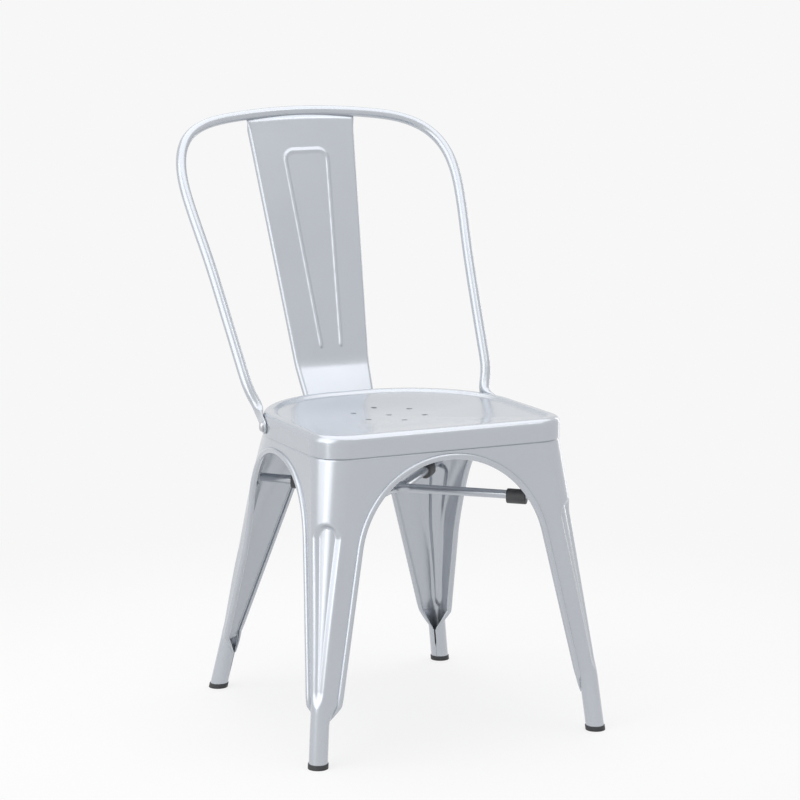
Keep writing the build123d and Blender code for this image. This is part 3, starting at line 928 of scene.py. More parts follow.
@dataclass(frozen=True)
class Leg:
    """One pressed leg: a folded corner with a flute, rolled arch edges and a foot tube.

    Attributes:
        end: which end it stands at.
        side: which side it stands on.
        end_arch: the opening in the front or rear face.
        side_arch: the opening in the side face.
        press: the shape it is pressed to.
        top: height of the sheet's upper edge, inside the skirt.
        low: height of its lower edge, inside the floor cap.
        curl_start: height from which the sheet rolls in towards the foot tube.
        curl_stop: height at which the tube is made.
        slot: half gap of the tube's open seam, height of its lower end and length of its taper.
        slot_shut: share of the gap that is left below.
        seam: depth of the crease under the skirt.
        seam_wide: how wide the crease is to either side.
        seam_drop: how far its middle lies below the skirt's edge.
        roll: radius of the rolled edges.
        roll_sides: points round a rolled edge.
        groove_turn: degrees round a rolled edge from its inner side to its groove.
        flute_depth: depth of the flute at its upper end.
        flute_low: height and half width of the flute's lower end.
        flute_high: height and half width of its upper end.
        flute_taper: how quickly the lower end closes; less draws it out.
        flute_wall: share of the half width that the flute's wall takes, low and high.
        corner_zone: half width of the strip round the corner that has the closest columns.
        flange_share: least share of the sheet's width on either side of that strip.
        row_step: distance between rows of the sheet.
        curl_step: the same where it rolls in.
        seam_step: the same at the crease.
        flute_step: the same at the flute's ends.
        least_step: rows nearer than this are left out.
    """

    end: End
    side: Side
    end_arch: HalfArch
    side_arch: HalfArch
    press: Press
    top: float = 434.0
    low: float = 3.0
    curl_start: float = 84.0
    curl_stop: float = 52.0
    slot: Triple = (1.1, 24.0, 7.0)
    slot_shut: float = 0.12
    seam: float = 1.4
    seam_wide: float = 2.0
    seam_drop: float = 0.8
    roll: float = 4.5
    roll_sides: int = 32
    groove_turn: float = 52.0
    flute_depth: float = 7.0
    flute_low: Pair = (106.0, 11.0)
    flute_high: Pair = (306.0, 22.0)
    flute_taper: float = 0.45
    flute_wall: Pair = (0.9, 0.4)
    corner_zone: float = 26.0
    flange_share: float = 0.2
    row_step: float = 4.0
    curl_step: float = 1.5
    seam_step: float = 0.7
    flute_step: float = 0.9
    least_step: float = 0.3

    def name(self, word: str) -> str:
        """A piece's name with its end and side."""
        return f"{word}_{self.end.name.lower()}_{self.side.name.lower()}"

    def heights(self) -> Points:
        """Heights of the sheet's rows.

        Returns:
            Rising heights, closer at the crowns, the curl, the seam and the flute's ends.
        """
        low, high = self.flute_low, self.flute_high
        skirt = self.press.skirt_low
        rows = [np.arange(self.low, self.top, self.row_step), [self.top, skirt]]
        # Close rows start and stop a few millimetres past what they are for.
        rows.append(np.arange(self.curl_stop - 3, self.curl_start + 6, self.curl_step))
        rows.append(np.arange(skirt - 6, skirt + 5, self.seam_step))
        rows.append(self.end_arch.heights())
        rows.append(self.side_arch.heights())
        rows.append(np.arange(low[0] - low[1] / self.flute_taper - 1, low[0] + 4, self.flute_step))
        rows.append(np.arange(high[0] - 3, high[0] + high[1] + 1, self.flute_step))
        levels = np.sort(np.concatenate(rows))
        levels = levels[(levels >= self.low) & (levels <= self.top)]
        return levels[np.concatenate(([True], np.diff(levels) > self.least_step))]

    def columns(self) -> Points:
        """Shares across the sheet: end flange, corner and side flange."""
        flanges = np.linspace(0, 1, 25)
        return np.concatenate((flanges[:-1], np.linspace(1, 2, 65)[:-1], flanges + 2))

    def flute(self, across: Points, z: Points) -> Points:
        """Depth of the pressed flute.

        Args:
            across: distance from the middle of the corner.
            z: heights.

        Returns:
            How far the sheet is pressed in.
        """
        (low, low_radius), (high, high_radius) = self.flute_low, self.flute_high
        share = np.clip((z - low) / (high - low), 0.0, 1.0)
        radius = low_radius + (high_radius - low_radius) * share
        beyond = np.maximum(0.0, np.maximum((low - z) * self.flute_taper, z - high))
        wall = np.interp(share, (0.0, 1.0), self.flute_wall) * radius
        inside = np.clip((radius - np.hypot(across, beyond)) / wall, 0.0, 1.0)
        depth = self.flute_depth * (1 + share) / 2
        return depth * inside**2 * (3 - 2 * inside)

    def flange(self, edge: Points, straight: Points, radius: Points,
               z: Points) -> tuple[Points, Points]:
        """One side of the sheet, from the middle of the corner to the edge of an arch.

        Above the foot the sheet runs straight on from the corner's round. Towards the foot it
        rolls in, until both edges meet at a seam on the inside of the tube.

        Args:
            edge: distance of the arch's edge from the middle of the chair.
            straight: distance at which the corner's round begins.
            radius: radius of the corner's round.
            z: heights.

        Returns:
            Length from the middle of the corner, and how sharply the part past the round bends.
        """
        quarter = radius * math.pi / 4
        over = np.clip((edge - straight) / radius, 0.0, 1.0)
        flat = np.where(edge < straight, straight - edge, -radius * np.arcsin(over)) + quarter
        share = np.clip((self.curl_start - z) / (self.curl_start - self.curl_stop), 0.0, 1.0)
        half_gap, slot_end, taper = self.slot
        gap = half_gap * np.clip((z - slot_end) / taper, self.slot_shut, 1.0)
        turn = 3 * math.pi / 4 - gap / radius
        along = flat - quarter + (radius * np.sin(turn) - flat + quarter) * share
        inward = np.maximum(1e-4, radius * (1 - np.cos(turn)) * share)
        bend = 2 * inward / (along**2 + inward**2)
        rolled = quarter + 2 * np.arctan2(inward, along) / bend
        return np.where(share > 0, rolled, flat), np.where(share > 0, bend, 1e-6)

    def sheet(self) -> Points:
        """Points of the outer face, from the end arch round the corner to the side arch.

        Returns:
            Rows by columns by three.
        """
        z, part = np.meshgrid(self.heights(), self.columns(), indexing="ij")
        centre, out, radius = self.press.corner(self.end, z)
        high = np.maximum(z, self.curl_start)
        end_long, end_bend = self.flange(self.end_arch.edge(high), centre, radius, z)
        side_long, side_bend = self.flange(self.side_arch.edge(high), out, radius, z)
        width = end_long + side_long
        least = self.flange_share * width
        first = np.maximum(least - end_long, -self.corner_zone)
        last = np.minimum(side_long - least, self.corner_zone)
        on_corner = first + (last - first) * (part - 1)
        past_corner = last + (side_long - last) * (part - 2)
        way = np.where(part < 2, on_corner, past_corner)
        way = np.where(part < 1, -end_long + (first + end_long) * part, way)
        quarter = radius * math.pi / 4
        angle = np.clip((way + quarter) / radius, 0.0, math.pi / 2)
        beyond = np.maximum(0.0, np.abs(way) - quarter)
        bend = np.where(way < 0, end_bend, side_bend)
        along = np.sin(beyond * bend) / bend
        inward = (1 - np.cos(beyond * bend)) / bend
        on_end = (way < -quarter) * 1.0
        on_side = (way > quarter) * 1.0
        x = centre + radius * np.sin(angle) - along * on_end - inward * on_side
        y = out + radius * np.cos(angle) - inward * on_end - along * on_side
        folded = np.clip((z - self.curl_stop) / (self.curl_start - self.curl_stop), 0.0, 1.0)
        lean = (self.press.reach(self.end, y, z) - centre - radius) * folded
        x = x + lean * on_side
        press = self.flute(((x - centre) - (y - out)) / math.sqrt(2), z) * folded
        above = z - self.press.skirt_low + self.seam_drop
        press = press + self.seam * np.exp(-((above / self.seam_wide) ** 2))
        x = x - np.sin(angle) * press
        y = y - np.cos(angle) * press
        return np.stack((x * self.side.value, y * self.end.value, z), axis=-1)

    def end_roll(self) -> Rod:
        """Rolled edge on the end arch, its seam on the inside.

        Returns:
            The bar that the edge is rolled to.
        """
        rim = self.end_arch.rim()
        depth = self.press.depth(self.end, rim[:, 0], rim[:, 1]) - SHEET / 2
        line = np.stack((rim[:, 0] * self.side.value, depth * self.end.value, rim[:, 1]), axis=1)
        line = np.concatenate((self.lip(0), line))
        inward = np.array((0.0, -self.end.value, 0.0))
        return self.rolled(line, inward, np.array((self.side.value, 0.0, 0.0)))

    def side_roll(self) -> Rod:
        """Rolled edge on the side arch, its seam on the inside.

        Returns:
            The bar that the edge is rolled to.
        """
        rim = self.side_arch.rim()
        reach = self.press.reach(self.end, rim[:, 0], rim[:, 1]) - SHEET / 2
        line = np.stack((reach * self.side.value, rim[:, 0] * self.end.value, rim[:, 1]), axis=1)
        line = np.concatenate((self.lip(-1), line))
        inward = np.array((-self.side.value, 0.0, 0.0))
        return self.rolled(line, inward, np.array((0.0, self.end.value, 0.0)))

    def lip(self, column: int) -> Points:
        """The sheet's edge where it rolls in towards the foot, in its first or last column."""
        edge = self.sheet()[:, column]
        return edge[(edge[:, 2] > self.curl_stop + 2) & (edge[:, 2] < self.curl_start - 1)]

    def rolled(self, line: Points, inward: Points, outward: Points) -> Rod:
        """A rolled edge along a line.

        Args:
            line: its middle.
            inward: direction into the chair.
            outward: direction from the opening to the leg's corner.

        Returns:
            The rolled edge with a groove where its lip meets the sheet.
        """
        rod = Rod.round(line, self.roll)
        rod.first = inward
        fade = (self.curl_stop, self.curl_start + 6)
        rod.wide = np.interp(line[:, 2], fade, (1.0, self.roll))
        rod.thick = rod.wide
        over = rod.axes()[2][len(line) // 2]
        rod.groove = math.copysign(math.radians(self.groove_turn), float(over.dot(outward)))
        return rod

    def axis(self) -> tuple[Points, Points]:
        """Middle line of the foot tube.

        Returns:
            Its foot, and the direction up it, one millimetre high.
        """
        low = np.array(self.press.corner(self.end, 0.0)[:2])
        high = np.array(self.press.corner(self.end, self.press.flare)[:2])
        signs = np.array((self.side.value, self.end.value))
        base = np.append(low * signs, 0.0)
        rise = np.append((high - low) * signs / self.press.flare, 1.0)
        return base, rise

    def build(self, bench: Bench, paint: bpy.types.Material) -> bpy.types.Object:
        """Model the leg.

        Args:
            bench: where meshes are made.
            paint: the leg's finish.

        Returns:
            The finished piece.
        """
        turned = (self.end is End.REAR) != (self.side is Side.LEFT)
        leg = bench.lattice(self.name("leg_sheet"), self.sheet(), flip=turned)
        bench.thicken(leg)
        rolls = []
        for rod in (self.end_roll(), self.side_roll()):
            rings = rod.rings(self.roll_sides, cap_start=1.0)
            rolls.append(bench.lattice(self.name("roll"), rings, closed=True))
        bench.join(leg, *rolls)
        bench.dress(leg, paint, Slot.PAINT, self.name("leg"), angle=38.0)
        return leg


@dataclass(frozen=True)
class FloorCap:
    """Dark cup that the end of a foot tube stands in.

    Attributes:
        leg: the leg that stands in it.
        radius: its outer radius.
        wall: thickness of its wall.
        height: its height.
        round_off: width of its rounded edges.
        hollow: depth of the cup.
        sides: points round it.
    """

    leg: Leg
    radius: float = 14.05
    wall: float = 1.2
    height: float = 7.0
    round_off: float = 0.44
    hollow: float = 4.2
    sides: int = 64

    def build(self, bench: Bench, rubber: bpy.types.Material) -> bpy.types.Object:
        """Model the cap: a disc whose top is inset and pressed in, its edges rounded.

        Args:
            bench: where meshes are made.
            rubber: the cap's finish.

        Returns:
            The finished piece.
        """
        bpy.ops.object.select_all(action="DESELECT")
        middle = (0.0, 0.0, self.height * MM / 2)
        bpy.ops.mesh.primitive_cylinder_add(vertices=self.sides, radius=self.radius * MM,
                                            depth=self.height * MM, location=middle)
        cap = bpy.context.object
        cap.name = self.leg.name("floor_cap")
        bpy.ops.object.transform_apply(location=True)
        bpy.ops.object.mode_set(mode="EDIT")
        bpy.ops.mesh.select_all(action="DESELECT")
        bpy.ops.object.mode_set(mode="OBJECT")
        for face in cap.data.polygons:
            face.select = face.normal.z > 0.9
        bpy.ops.object.mode_set(mode="EDIT")
        bpy.ops.mesh.inset(thickness=self.wall * MM, depth=0.0)
        down = {"value": (0.0, 0.0, -self.hollow * MM)}
        bpy.ops.mesh.extrude_region_move(TRANSFORM_OT_translate=down)
        bpy.ops.object.mode_set(mode="OBJECT")
        bench.modify(cap, "BEVEL", width=self.round_off * MM, segments=3, limit_method="ANGLE",
                     angle_limit=math.radians(40))
        base, rise = self.leg.axis()
        tilt = Matrix.Identity(4)
        tilt[0][2] = rise[0]
        tilt[1][2] = rise[1]
        foot = bench.placed(base)
        cap.data.transform(Matrix.Translation(Vector(foot)) @ tilt)
        bench.dress(cap, rubber, Slot.FOOT, self.leg.name("foot"))
        return cap


@dataclass(frozen=True)
class BackHoop:
    """Round tube bent into the back, both ends pressed flat and bolted to the seat.

    Attributes:
        radius: radius of the tube.
        sides: points round the tube.
        half_width: largest distance of the tube's middle line from the middle of the chair.
        skirt_low: height of the skirt's lower edge.
        top: height of the middle line at its top.
        depth: how far back the middle line runs from foot_y to its top.
        foot_y: Y from which that counts.
        tab_thick: thickness of a flat end.
        tab_wide: width of a flat end.
        tab_reach: how far a flat end runs on past its bolt.
        tab_fade: length over which the tube then becomes round.
        tab_square: power of the flat end's section.
        flat_stop: share of that reach at which the straight part ends.
        bend_start: share of that reach at which the bent part starts.
        tip_half: half width of the flat end's outermost ring.
        gap: play between a flat end and the skirt.
        bolt_y: Y of the bolts.
        bolt_z: height of the bolts.
        seat_half_width: half width of the seat that the flat ends lie on.
        seat_half_depth: half its depth.
        seat_round: radius of its rear corners.
    """

    radius: float = 7.5
    sides: int = 40
    half_width: float = 219.0
    skirt_low: float = 414.0
    top: float = 842.0
    depth: float = 298.3
    foot_y: float = 42.5
    tab_thick: float = 3.2
    tab_wide: float = 20.0
    tab_reach: float = 20.0
    tab_fade: float = 38.0
    tab_square: float = 7.0
    flat_stop: float = 0.55
    bend_start: float = 0.6
    tip_half: float = 0.05
    gap: float = 0.3
    bolt_y: float = 36.0
    bolt_z: float = 426.0
    seat_half_width: float = 189.0
    seat_half_depth: float = 171.0
    seat_round: float = 165.0

    def nodes(self) -> Points:
        """Points on the tube's middle line from the right-hand end up to the top.

        Returns:
            Points, from shares of the half width, of the lean and of the height above the skirt.
        """
        shares = np.array(((0.833, 0.0613, 0.0456), (0.820, 0.1073, 0.0643),
                           (0.8265, 0.1274, 0.0853), (0.8447, 0.1458, 0.1098),
                           (0.8598, 0.1626, 0.1343),
                           (0.879, 0.216, 0.201), (0.910, 0.354, 0.365),
                           (0.950, 0.508, 0.551), (0.994, 0.649, 0.715), (1.0, 0.727, 0.80),
                           (0.968, 0.80, 0.872), (0.885, 0.87, 0.928), (0.735, 0.927, 0.966),
                           (0.53, 0.966, 0.985), (0.27, 0.991, 0.996), (0.0, 1.0, 1.0)))
        sizes = np.array((self.half_width, self.depth, self.top - self.skirt_low))
        return shares * sizes + (0.0, self.foot_y, self.skirt_low)

    def bolt_axes(self) -> tuple[Points, Points, Points]:
        """Axes of the right-hand bolt.

        Returns:
            The bolt's place on the skirt, the way out of it and the way up the tab.
        """
        centre = np.array((self.seat_half_width, self.seat_half_depth)) - self.seat_round
        angle = math.asin((self.bolt_y - centre[1]) / self.seat_round)
        out = np.array((math.cos(angle), math.sin(angle), 0.0))
        place = np.array((centre[0] + self.seat_round * out[0], self.bolt_y, self.bolt_z))
        up = self.nodes()[0] - place
        up = up - out * up.dot(out)
        return place, out, up / np.linalg.norm(up)

    def crown(self, x: Points) -> Points:
        """Shape of the hoop's top.

        Args:
            x: distances to either side of the middle.

        Returns:
            How far the tube's middle line has dropped from its top at each.
        """
        nodes = self.nodes()[::-1]
        line = smooth_line(np.concatenate((nodes[:6][::-1] * (-1, 1, 1), nodes[1:6])), 400)
        return self.top - np.interp(x, line[:, 0], line[:, 2])

    def rod(self) -> Rod:
        """The right-hand half of the hoop.

        Returns:
            The bar from the tab's tip to the top, pressed flat at its end.
        """
        place, out, up = self.bolt_axes()
        middle = place + out * (self.gap + self.tab_thick / 2)
        tip = self.tab_wide / 2
        nodes = self.nodes()
        mirrored = nodes[-2] * (-1, 1, 1)
        start = middle + up * self.tab_reach * self.bend_start
        bent = smooth_line(np.concatenate(([start], nodes, [mirrored])), 420)
        bent = bent[bent[:, 0] >= 0]
        bent[-1, 0] = 0.0
        flat = middle + up * np.linspace(-tip, self.tab_reach * self.flat_stop, 26)[:, None]
        line = np.concatenate((flat, bent))
        gaps = np.linalg.norm(np.diff(line, axis=0), axis=1)
        length = np.concatenate(([0.0], np.cumsum(gaps)))
        share = np.clip((length - tip - self.tab_reach) / self.tab_fade, 0.0, 1.0)
        share = share**2 * (3 - 2 * share)
        wide = self.tab_wide / 2 + (self.radius - self.tab_wide / 2) * share
        wide = np.where(length < tip, np.sqrt(np.maximum(0.0, tip**2 - (tip - length) ** 2)), wide)
        thick = self.tab_thick / 2 + (self.radius - self.tab_thick / 2) * share
        power = self.tab_square + (2.0 - self.tab_square) * share
        return Rod(line, np.cross(out, up), np.maximum(wide, self.tip_half), thick, power)

    def build(self, bench: Bench, paint: bpy.types.Material) -> bpy.types.Object:
        """Model one half of the hoop and mirror it.

        Args:
            bench: where meshes are made.
            paint: the hoop's finish.

        Returns:
            The finished piece.
        """
        rings = self.rod().rings(self.sides)[:-CAP_ROWS]
        rings[-1, :, 0] = 0.0
        hoop = bench.lattice("back_hoop_tube", rings, closed=True)
        bench.modify(hoop, "MIRROR", use_axis=(True, False, False), use_mirror_merge=True,
                     merge_threshold=5 * MERGE)
        bench.clean(hoop, closed=True)
        bench.dress(hoop, paint, Slot.PAINT, "back_hoop", angle=45.0)
        return hoop


@dataclass(frozen=True)
class BackSplat:
    """Tapered back panel with turned sides and a raised line, from the hoop to the rear apron.

    Attributes:
        hoop: the hoop that it hangs in.
        top_half: half width at the hoop's top.
        low_half: half width at the seat.
        seat_top: height of the seat.
        flange: depth of the turned sides.
        flange_rows: columns on a turned side past its round.
        round_off: radius that the sides are turned to.
        round_rows: columns on that round.
        flange_fade: heights between which the turned sides grow to their full depth.
        edge_fade: heights between which they begin to turn.
        top_fade: distances below the hoop's top between which they are turned fully.
        top_turned: share of the turn that is left at the top.
        top_spare: how far the panel runs past its profile before its top edge is fitted.
        bends: radii of the two bends.
        bend_rows: points on a bend.
        rows: rows of the face, not counting those at its bends.
        columns: columns between the turned sides, counting both edges.
        profile: Y and Z of the face's corners from the top down.
        ridge_half: half width of the raised line's path, high and low.
        ridge_span: shares of the face where the path begins and ends.
        ridge_turn: radius of the path's upper corners.
        ridge_rise: how far the line stands out.
        ridge_wide: its half width.
        tuck: how far the top edge leans back under the hoop, and over what length.
        notch_centre: height of the rear arch's centre.
        notch_radius: radius about it that the lower edge follows.
        top_drop: how far the top edge is cut back, besides the hoop's own curve.
        top_rows: rows over which the top edge is fitted.
        low_rows: rows over which the lower edge is fitted.
    """

    hoop: BackHoop
    top_half: float = 87.5
    low_half: float = 56.5
    seat_top: float = 444.0
    flange: float = 8.0
    flange_rows: int = 4
    round_off: float = 5.0
    round_rows: int = 9
    flange_fade: Pair = (415.0, 437.0)
    edge_fade: Pair = (408.0, 420.0)
    top_fade: Pair = (9.4, 22.0)
    top_turned: float = 0.3
    top_spare: float = 6.0
    bends: Pair = (100.0, 14.0)
    bend_rows: int = 10
    rows: int = 300
    columns: int = 132
    profile: tuple[Pair, ...] = ((334.8, 838.25), (218.2, 479.5), (172.6, 398.5), (176.5, 376.5))
    ridge_half: Pair = (35.0, 16.0)
    ridge_span: Pair = (0.85, 0.065)
    ridge_turn: float = 14.0
    ridge_rise: float = 2.3
    ridge_wide: float = 4.4
    tuck: Pair = (5.5, 14.0)
    notch_centre: float = 300.0
    notch_radius: float = 85.5
    top_drop: float = 1.5
    top_rows: int = 40
    low_rows: int = 12

    def half(self, z: Points) -> Points:
        """Half width of the panel at each height."""
        slope = (self.top_half - self.low_half) / (self.hoop.top - self.seat_top)
        return self.low_half + slope * (z - self.seat_top)

    def spine(self) -> Points:
        """Middle line of the panel's face, its bends rounded.

        Returns:
            Even points down it as pairs of Y and Z.
        """
        knots = np.array(self.profile)
        up = (knots[0] - knots[1]) / np.linalg.norm(knots[0] - knots[1])
        line = [knots[:1] + up * self.top_spare]
        for i, bend in enumerate(self.bends, start=1):
            back = knots[i - 1] - knots[i]
            ahead = knots[i + 1] - knots[i]
            back = back / np.linalg.norm(back)
            ahead = ahead / np.linalg.norm(ahead)
            half_turn = math.acos(np.clip(back.dot(ahead), -1, 1)) / 2
            middle = (back + ahead) / np.linalg.norm(back + ahead)
            centre = knots[i] + middle * bend / math.sin(half_turn)
            start = knots[i] + back * bend / math.tan(half_turn) - centre
            stop = knots[i] + ahead * bend / math.tan(half_turn) - centre
            for share in np.linspace(0.0, 1.0, self.bend_rows):
                way = start + (stop - start) * share
                line.append(centre[None] + way[None] / np.linalg.norm(way) * bend)
        line.append(knots[3:])
        points = np.concatenate(line)
        gaps = np.linalg.norm(np.diff(points, axis=0), axis=1)
        places = np.concatenate(([0.0], np.cumsum(gaps)))
        even = np.union1d(np.linspace(0.0, places[-1], self.rows), places)
        return np.stack([np.interp(even, places, points[:, i]) for i in range(2)], axis=1)

    def ridge_path(self) -> Points:
        """Path of the raised line on the right-hand half.

        Returns:
            Pairs of X and distance up the face from its bend.
        """
        length = math.dist(self.profile[0], self.profile[1])
        high, low = (share * length for share in self.ridge_span)
        wide, narrow = self.ridge_half
        corner = np.array((wide, high))
        down = np.array((narrow - wide, low - high))
        down = down / np.linalg.norm(down)
        level = np.array((-1.0, 0.0))
        half_turn = math.acos(down.dot(level)) / 2
        setback = self.ridge_turn / math.tan(half_turn)
        middle = (down + level) / np.linalg.norm(down + level)
        centre = corner + middle * self.ridge_turn / math.sin(half_turn)
        start = corner + level * setback - centre
        stop = corner + down * setback - centre
        shares = np.linspace(0.0, 1.0, 30)[:, None]
        ways = start + (stop - start) * shares
        arc = centre + ways / np.linalg.norm(ways, axis=1)[:, None] * self.ridge_turn
        flat = np.linspace((0.0, high), arc[0], 20)
        flank = np.linspace(arc[-1], (narrow, low), 160)
        return np.concatenate((flat, arc, flank))

    def face(self) -> Points:
        """Points of the panel's outer face from one turned side across to the other.

        Returns:
            Rows by columns by three.
        """
        spine = self.spine()
        ways = np.gradient(spine, axis=0)
        ways = ways / np.linalg.norm(ways, axis=1)[:, None]
        behind = np.stack((-ways[:, 1], ways[:, 0]), axis=1)
        turns = np.linspace(0.0, math.pi / 2, self.round_rows)
        rows = []
        path = self.ridge_path()
        bend_place = np.array(self.profile[1])
        face_up = np.array(self.profile[0]) - bend_place
        face_up = face_up / np.linalg.norm(face_up)
        for spot, back in zip(spine, behind):
            half = float(self.half(spot[1]))
            flange = np.interp(spot[1], self.flange_fade, (self.round_off, self.flange))
            deep = np.interp(spot[1], self.edge_fade, (0.0, 1.0))
            deep = deep * np.interp(self.hoop.top - spot[1], self.top_fade, (self.top_turned, 1.0))
            turned = np.full(self.flange_rows, half)
            side_x = np.concatenate((turned, half - self.round_off * (1 - np.cos(turns))))
            straight = np.linspace(flange, self.round_off, self.flange_rows + 1)[:-1]
            side_d = np.concatenate((straight, self.round_off * (1 - np.sin(turns)))) * deep
            flat = half - self.round_off
            inner = np.linspace(flat, -flat, self.columns)[1:-1]
            x = np.concatenate((side_x, inner, -side_x[::-1]))
            d = np.concatenate((side_d, np.zeros_like(inner), side_d[::-1]))
            rise = self.ridge(x, float((spot - bend_place).dot(face_up)), path)
            d = d - np.where(d > 0, 0.0, rise)
            rows.append(np.stack((x, spot[0] + back[0] * d, spot[1] + back[1] * d), axis=1))
        return self.trimmed(np.array(rows), ways)

    def ridge(self, x: Points, up: float, path: Points) -> Points:
        """Height of the raised line at one row.

        Args:
            x: places across the row.
            up: the row's distance up the face from the bend.
            path: points on the raised line.

        Returns:
            How far the face stands out.
        """
        near = np.hypot(np.abs(x)[:, None] - path[None, :, 0], up - path[None, :, 1]).min(axis=1)
        share = np.clip(1 - near / self.ridge_wide, 0.0, 1.0)
        return self.ridge_rise * share**2 * (3 - 2 * share)

    def trimmed(self, points: Points, ways: Points) -> Points:
        """Fit the panel's top edge to the hoop and its lower edge to the rear arch.

        Args:
            points: rows of the face.
            ways: direction down the face at each row.

        Returns:
            The fitted rows.
        """
        drop = self.hoop.crown(points[0, :, 0]) + self.top_drop
        count = np.arange(len(points))
        share = np.clip(1 - count / self.top_rows, 0.0, 1.0)[:, None]
        points[:, :, 1] += ways[0, 0] * drop * share
        points[:, :, 2] += ways[0, 1] * drop * share
        gaps = np.linalg.norm(np.diff(self.spine(), axis=0), axis=1)
        fall = np.concatenate(([0.0], np.cumsum(gaps)))
        tuck, tuck_long = self.tuck
        points[:, :, 1] += (tuck * np.clip(1 - fall / tuck_long, 0.0, 1.0) ** 2)[:, None]
        over = np.maximum(0.0, self.notch_radius**2 - points[-1, :, 0] ** 2)
        lift = np.maximum(0.0, self.notch_centre + np.sqrt(over) - points[-1, :, 2])
        share = np.clip(1 - (count[-1] - count) / self.low_rows, 0.0, 1.0)[:, None]
        points[:, :, 2] += lift * share
        points[:, :, 1] += ways[-1, 0] / ways[-1, 1] * lift * share
        return points

    def build(self, bench: Bench, paint: bpy.types.Material) -> bpy.types.Object:
        """Model the panel.

        Args:
            bench: where meshes are made.
            paint: the panel's finish.

        Returns:
            The finished piece.
        """
        splat = bench.lattice("back_splat_panel", self.face())
        bench.thicken(splat)
        bench.dress(splat, paint, Slot.PAINT, "back_splat", angle=50.0)
        return splat


@dataclass(frozen=True)
class Brace:
    """Bent tube under the seat from leg to leg, with a pad near each end.

    Attributes:
        end: which pair of legs it joins.
        press: the shape of those legs.
        radius: radius of the tube.
        sides: points round the tube.
        height: height of its middle line.
        bend: radius of its bend.
        hold: how far inside a leg's outer face it ends.
        gap: play between both tubes where they meet.
        pad_radius: radius of a pad.
        pad_sides: points round a pad.
        pad_length: length of a pad.
        pad_drop: how far its lower half is drawn down.
        pad_round: width of its rounded edges.
        pad_set: distance of a pad from the tube's end.
    """

    end: End
    press: Press
    radius: float = 6.25
    sides: int = 32
    height: float = 329.0
    bend: float = 30.0
    hold: float = 8.8
    gap: float = 0.3
    pad_radius: float = 8.6
    pad_sides: int = 48
    pad_length: float = 28.0
    pad_drop: float = 4.0
    pad_round: float = 0.9
    pad_set: float = 50.0

    def corners(self) -> tuple[Points, Points]:
        """Places that the tube runs between.

        Returns:
            Its right-hand tip, and its middle before it is bent round.
        """
        x, y, radius = self.press.corner(self.end, self.height)
        hold = self.hold + self.radius**2 / (2 * (radius - self.hold))
        reach = (radius - hold) / math.sqrt(2)
        tip = np.array((x + reach, (y + reach) * self.end.value, self.height))
        middle = 0.0
        # The bend draws the middle back, so its place is found in a few rounds.
        for _ in range(4):
            half_turn = math.atan2(tip[0], abs(tip[1] - middle))
            setback = self.bend * (1 / math.sin(half_turn) - 1)
            middle = self.end.value * (self.radius + self.gap / 2 - setback)
        return tip, np.array((0.0, middle, self.height))

    def line(self) -> Points:
        """Middle line of the tube.

        Returns:
            Points from right to left.
        """
        tip, middle = self.corners()
        out = (tip - middle) / np.linalg.norm(tip - middle)
        half_turn = math.atan2(out[0], abs(out[1]))
        setback = self.bend / math.tan(half_turn)
        centre = middle + np.array((0.0, self.end.value, 0.0)) * self.bend / math.sin(half_turn)
        start = middle + out * setback - centre
        stop = start * (-1, 1, 1)
        ways = start + (stop - start) * np.linspace(0.0, 1.0, 33)[:, None]
        arc = centre + ways / np.linalg.norm(ways, axis=1)[:, None] * self.bend
        first = np.linspace(tip, arc[0], 24)[:-1]
        return np.concatenate((first, arc, first[::-1] * (-1, 1, 1)))

    def build(self, bench: Bench, paint: bpy.types.Material,
              plastic: bpy.types.Material) -> list[bpy.types.Object]:
        """Model the tube and its two pads.

        Args:
            bench: where meshes are made.
            paint: the tube's finish.
            plastic: the pads' finish.

        Returns:
            The finished tube and pads.
        """
        word = self.end.name.lower()
        rings = Rod.round(self.line(), self.radius).rings(self.sides)
        tube = bench.lattice(f"brace_tube_{word}", rings, closed=True)
        bench.dress(tube, paint, Slot.PAINT, f"brace_{word}", angle=45.0)
        return [tube, *(self.pad(bench, side, plastic) for side in Side)]

    def pad(self, bench: Bench, side: Side, plastic: bpy.types.Material) -> bpy.types.Object:
        """Model one pad: a round bar whose lower half is drawn down, its ends rounded.

        Args:
            bench: where meshes are made.
            side: which side it sits on.
            plastic: its finish.

        Returns:
            The finished piece.
        """
        tip, middle = self.corners()
        way = (middle - tip) / np.linalg.norm(middle - tip)
        spot = tip + way * (self.pad_set + self.pad_length / 2)
        spot = spot * (side.value, 1, 1)
        way = way * (side.value, 1, 1)
        bpy.ops.object.select_all(action="DESELECT")
        bpy.ops.mesh.primitive_cylinder_add(vertices=self.pad_sides, radius=self.pad_radius * MM,
                                            depth=self.pad_length * MM)
        pad = bpy.context.object
        pad.name = f"brace_pad_{self.end.name.lower()}_{side.name.lower()}"
        for vertex in pad.data.vertices:
            vertex.select = vertex.co.y < -1e-6
        for part in (*pad.data.polygons, *pad.data.edges):
            part.select = False
        bpy.ops.object.mode_set(mode="EDIT")
        bpy.ops.mesh.select_mode(type="VERT")
        bpy.ops.transform.translate(value=(0.0, -self.pad_drop * MM, 0.0))
        bpy.ops.mesh.select_all(action="DESELECT")
        bpy.ops.object.mode_set(mode="OBJECT")
        bench.modify(pad, "BEVEL", width=self.pad_round * MM, segments=3, limit_method="ANGLE",
                     angle_limit=math.radians(50))
        up = Vector((0.0, 0.0, 1.0))
        along = Vector(way)
        across = up.cross(along)
        turn = Matrix((across, up, along)).transposed().to_4x4()
        pad.data.transform(Matrix.Translation(Vector(bench.placed(spot))) @ turn)
        bench.dress(pad, plastic, Slot.SLEEVE, f"sleeve_{self.end.name.lower()}_{side.name.lower()}")
        return pad


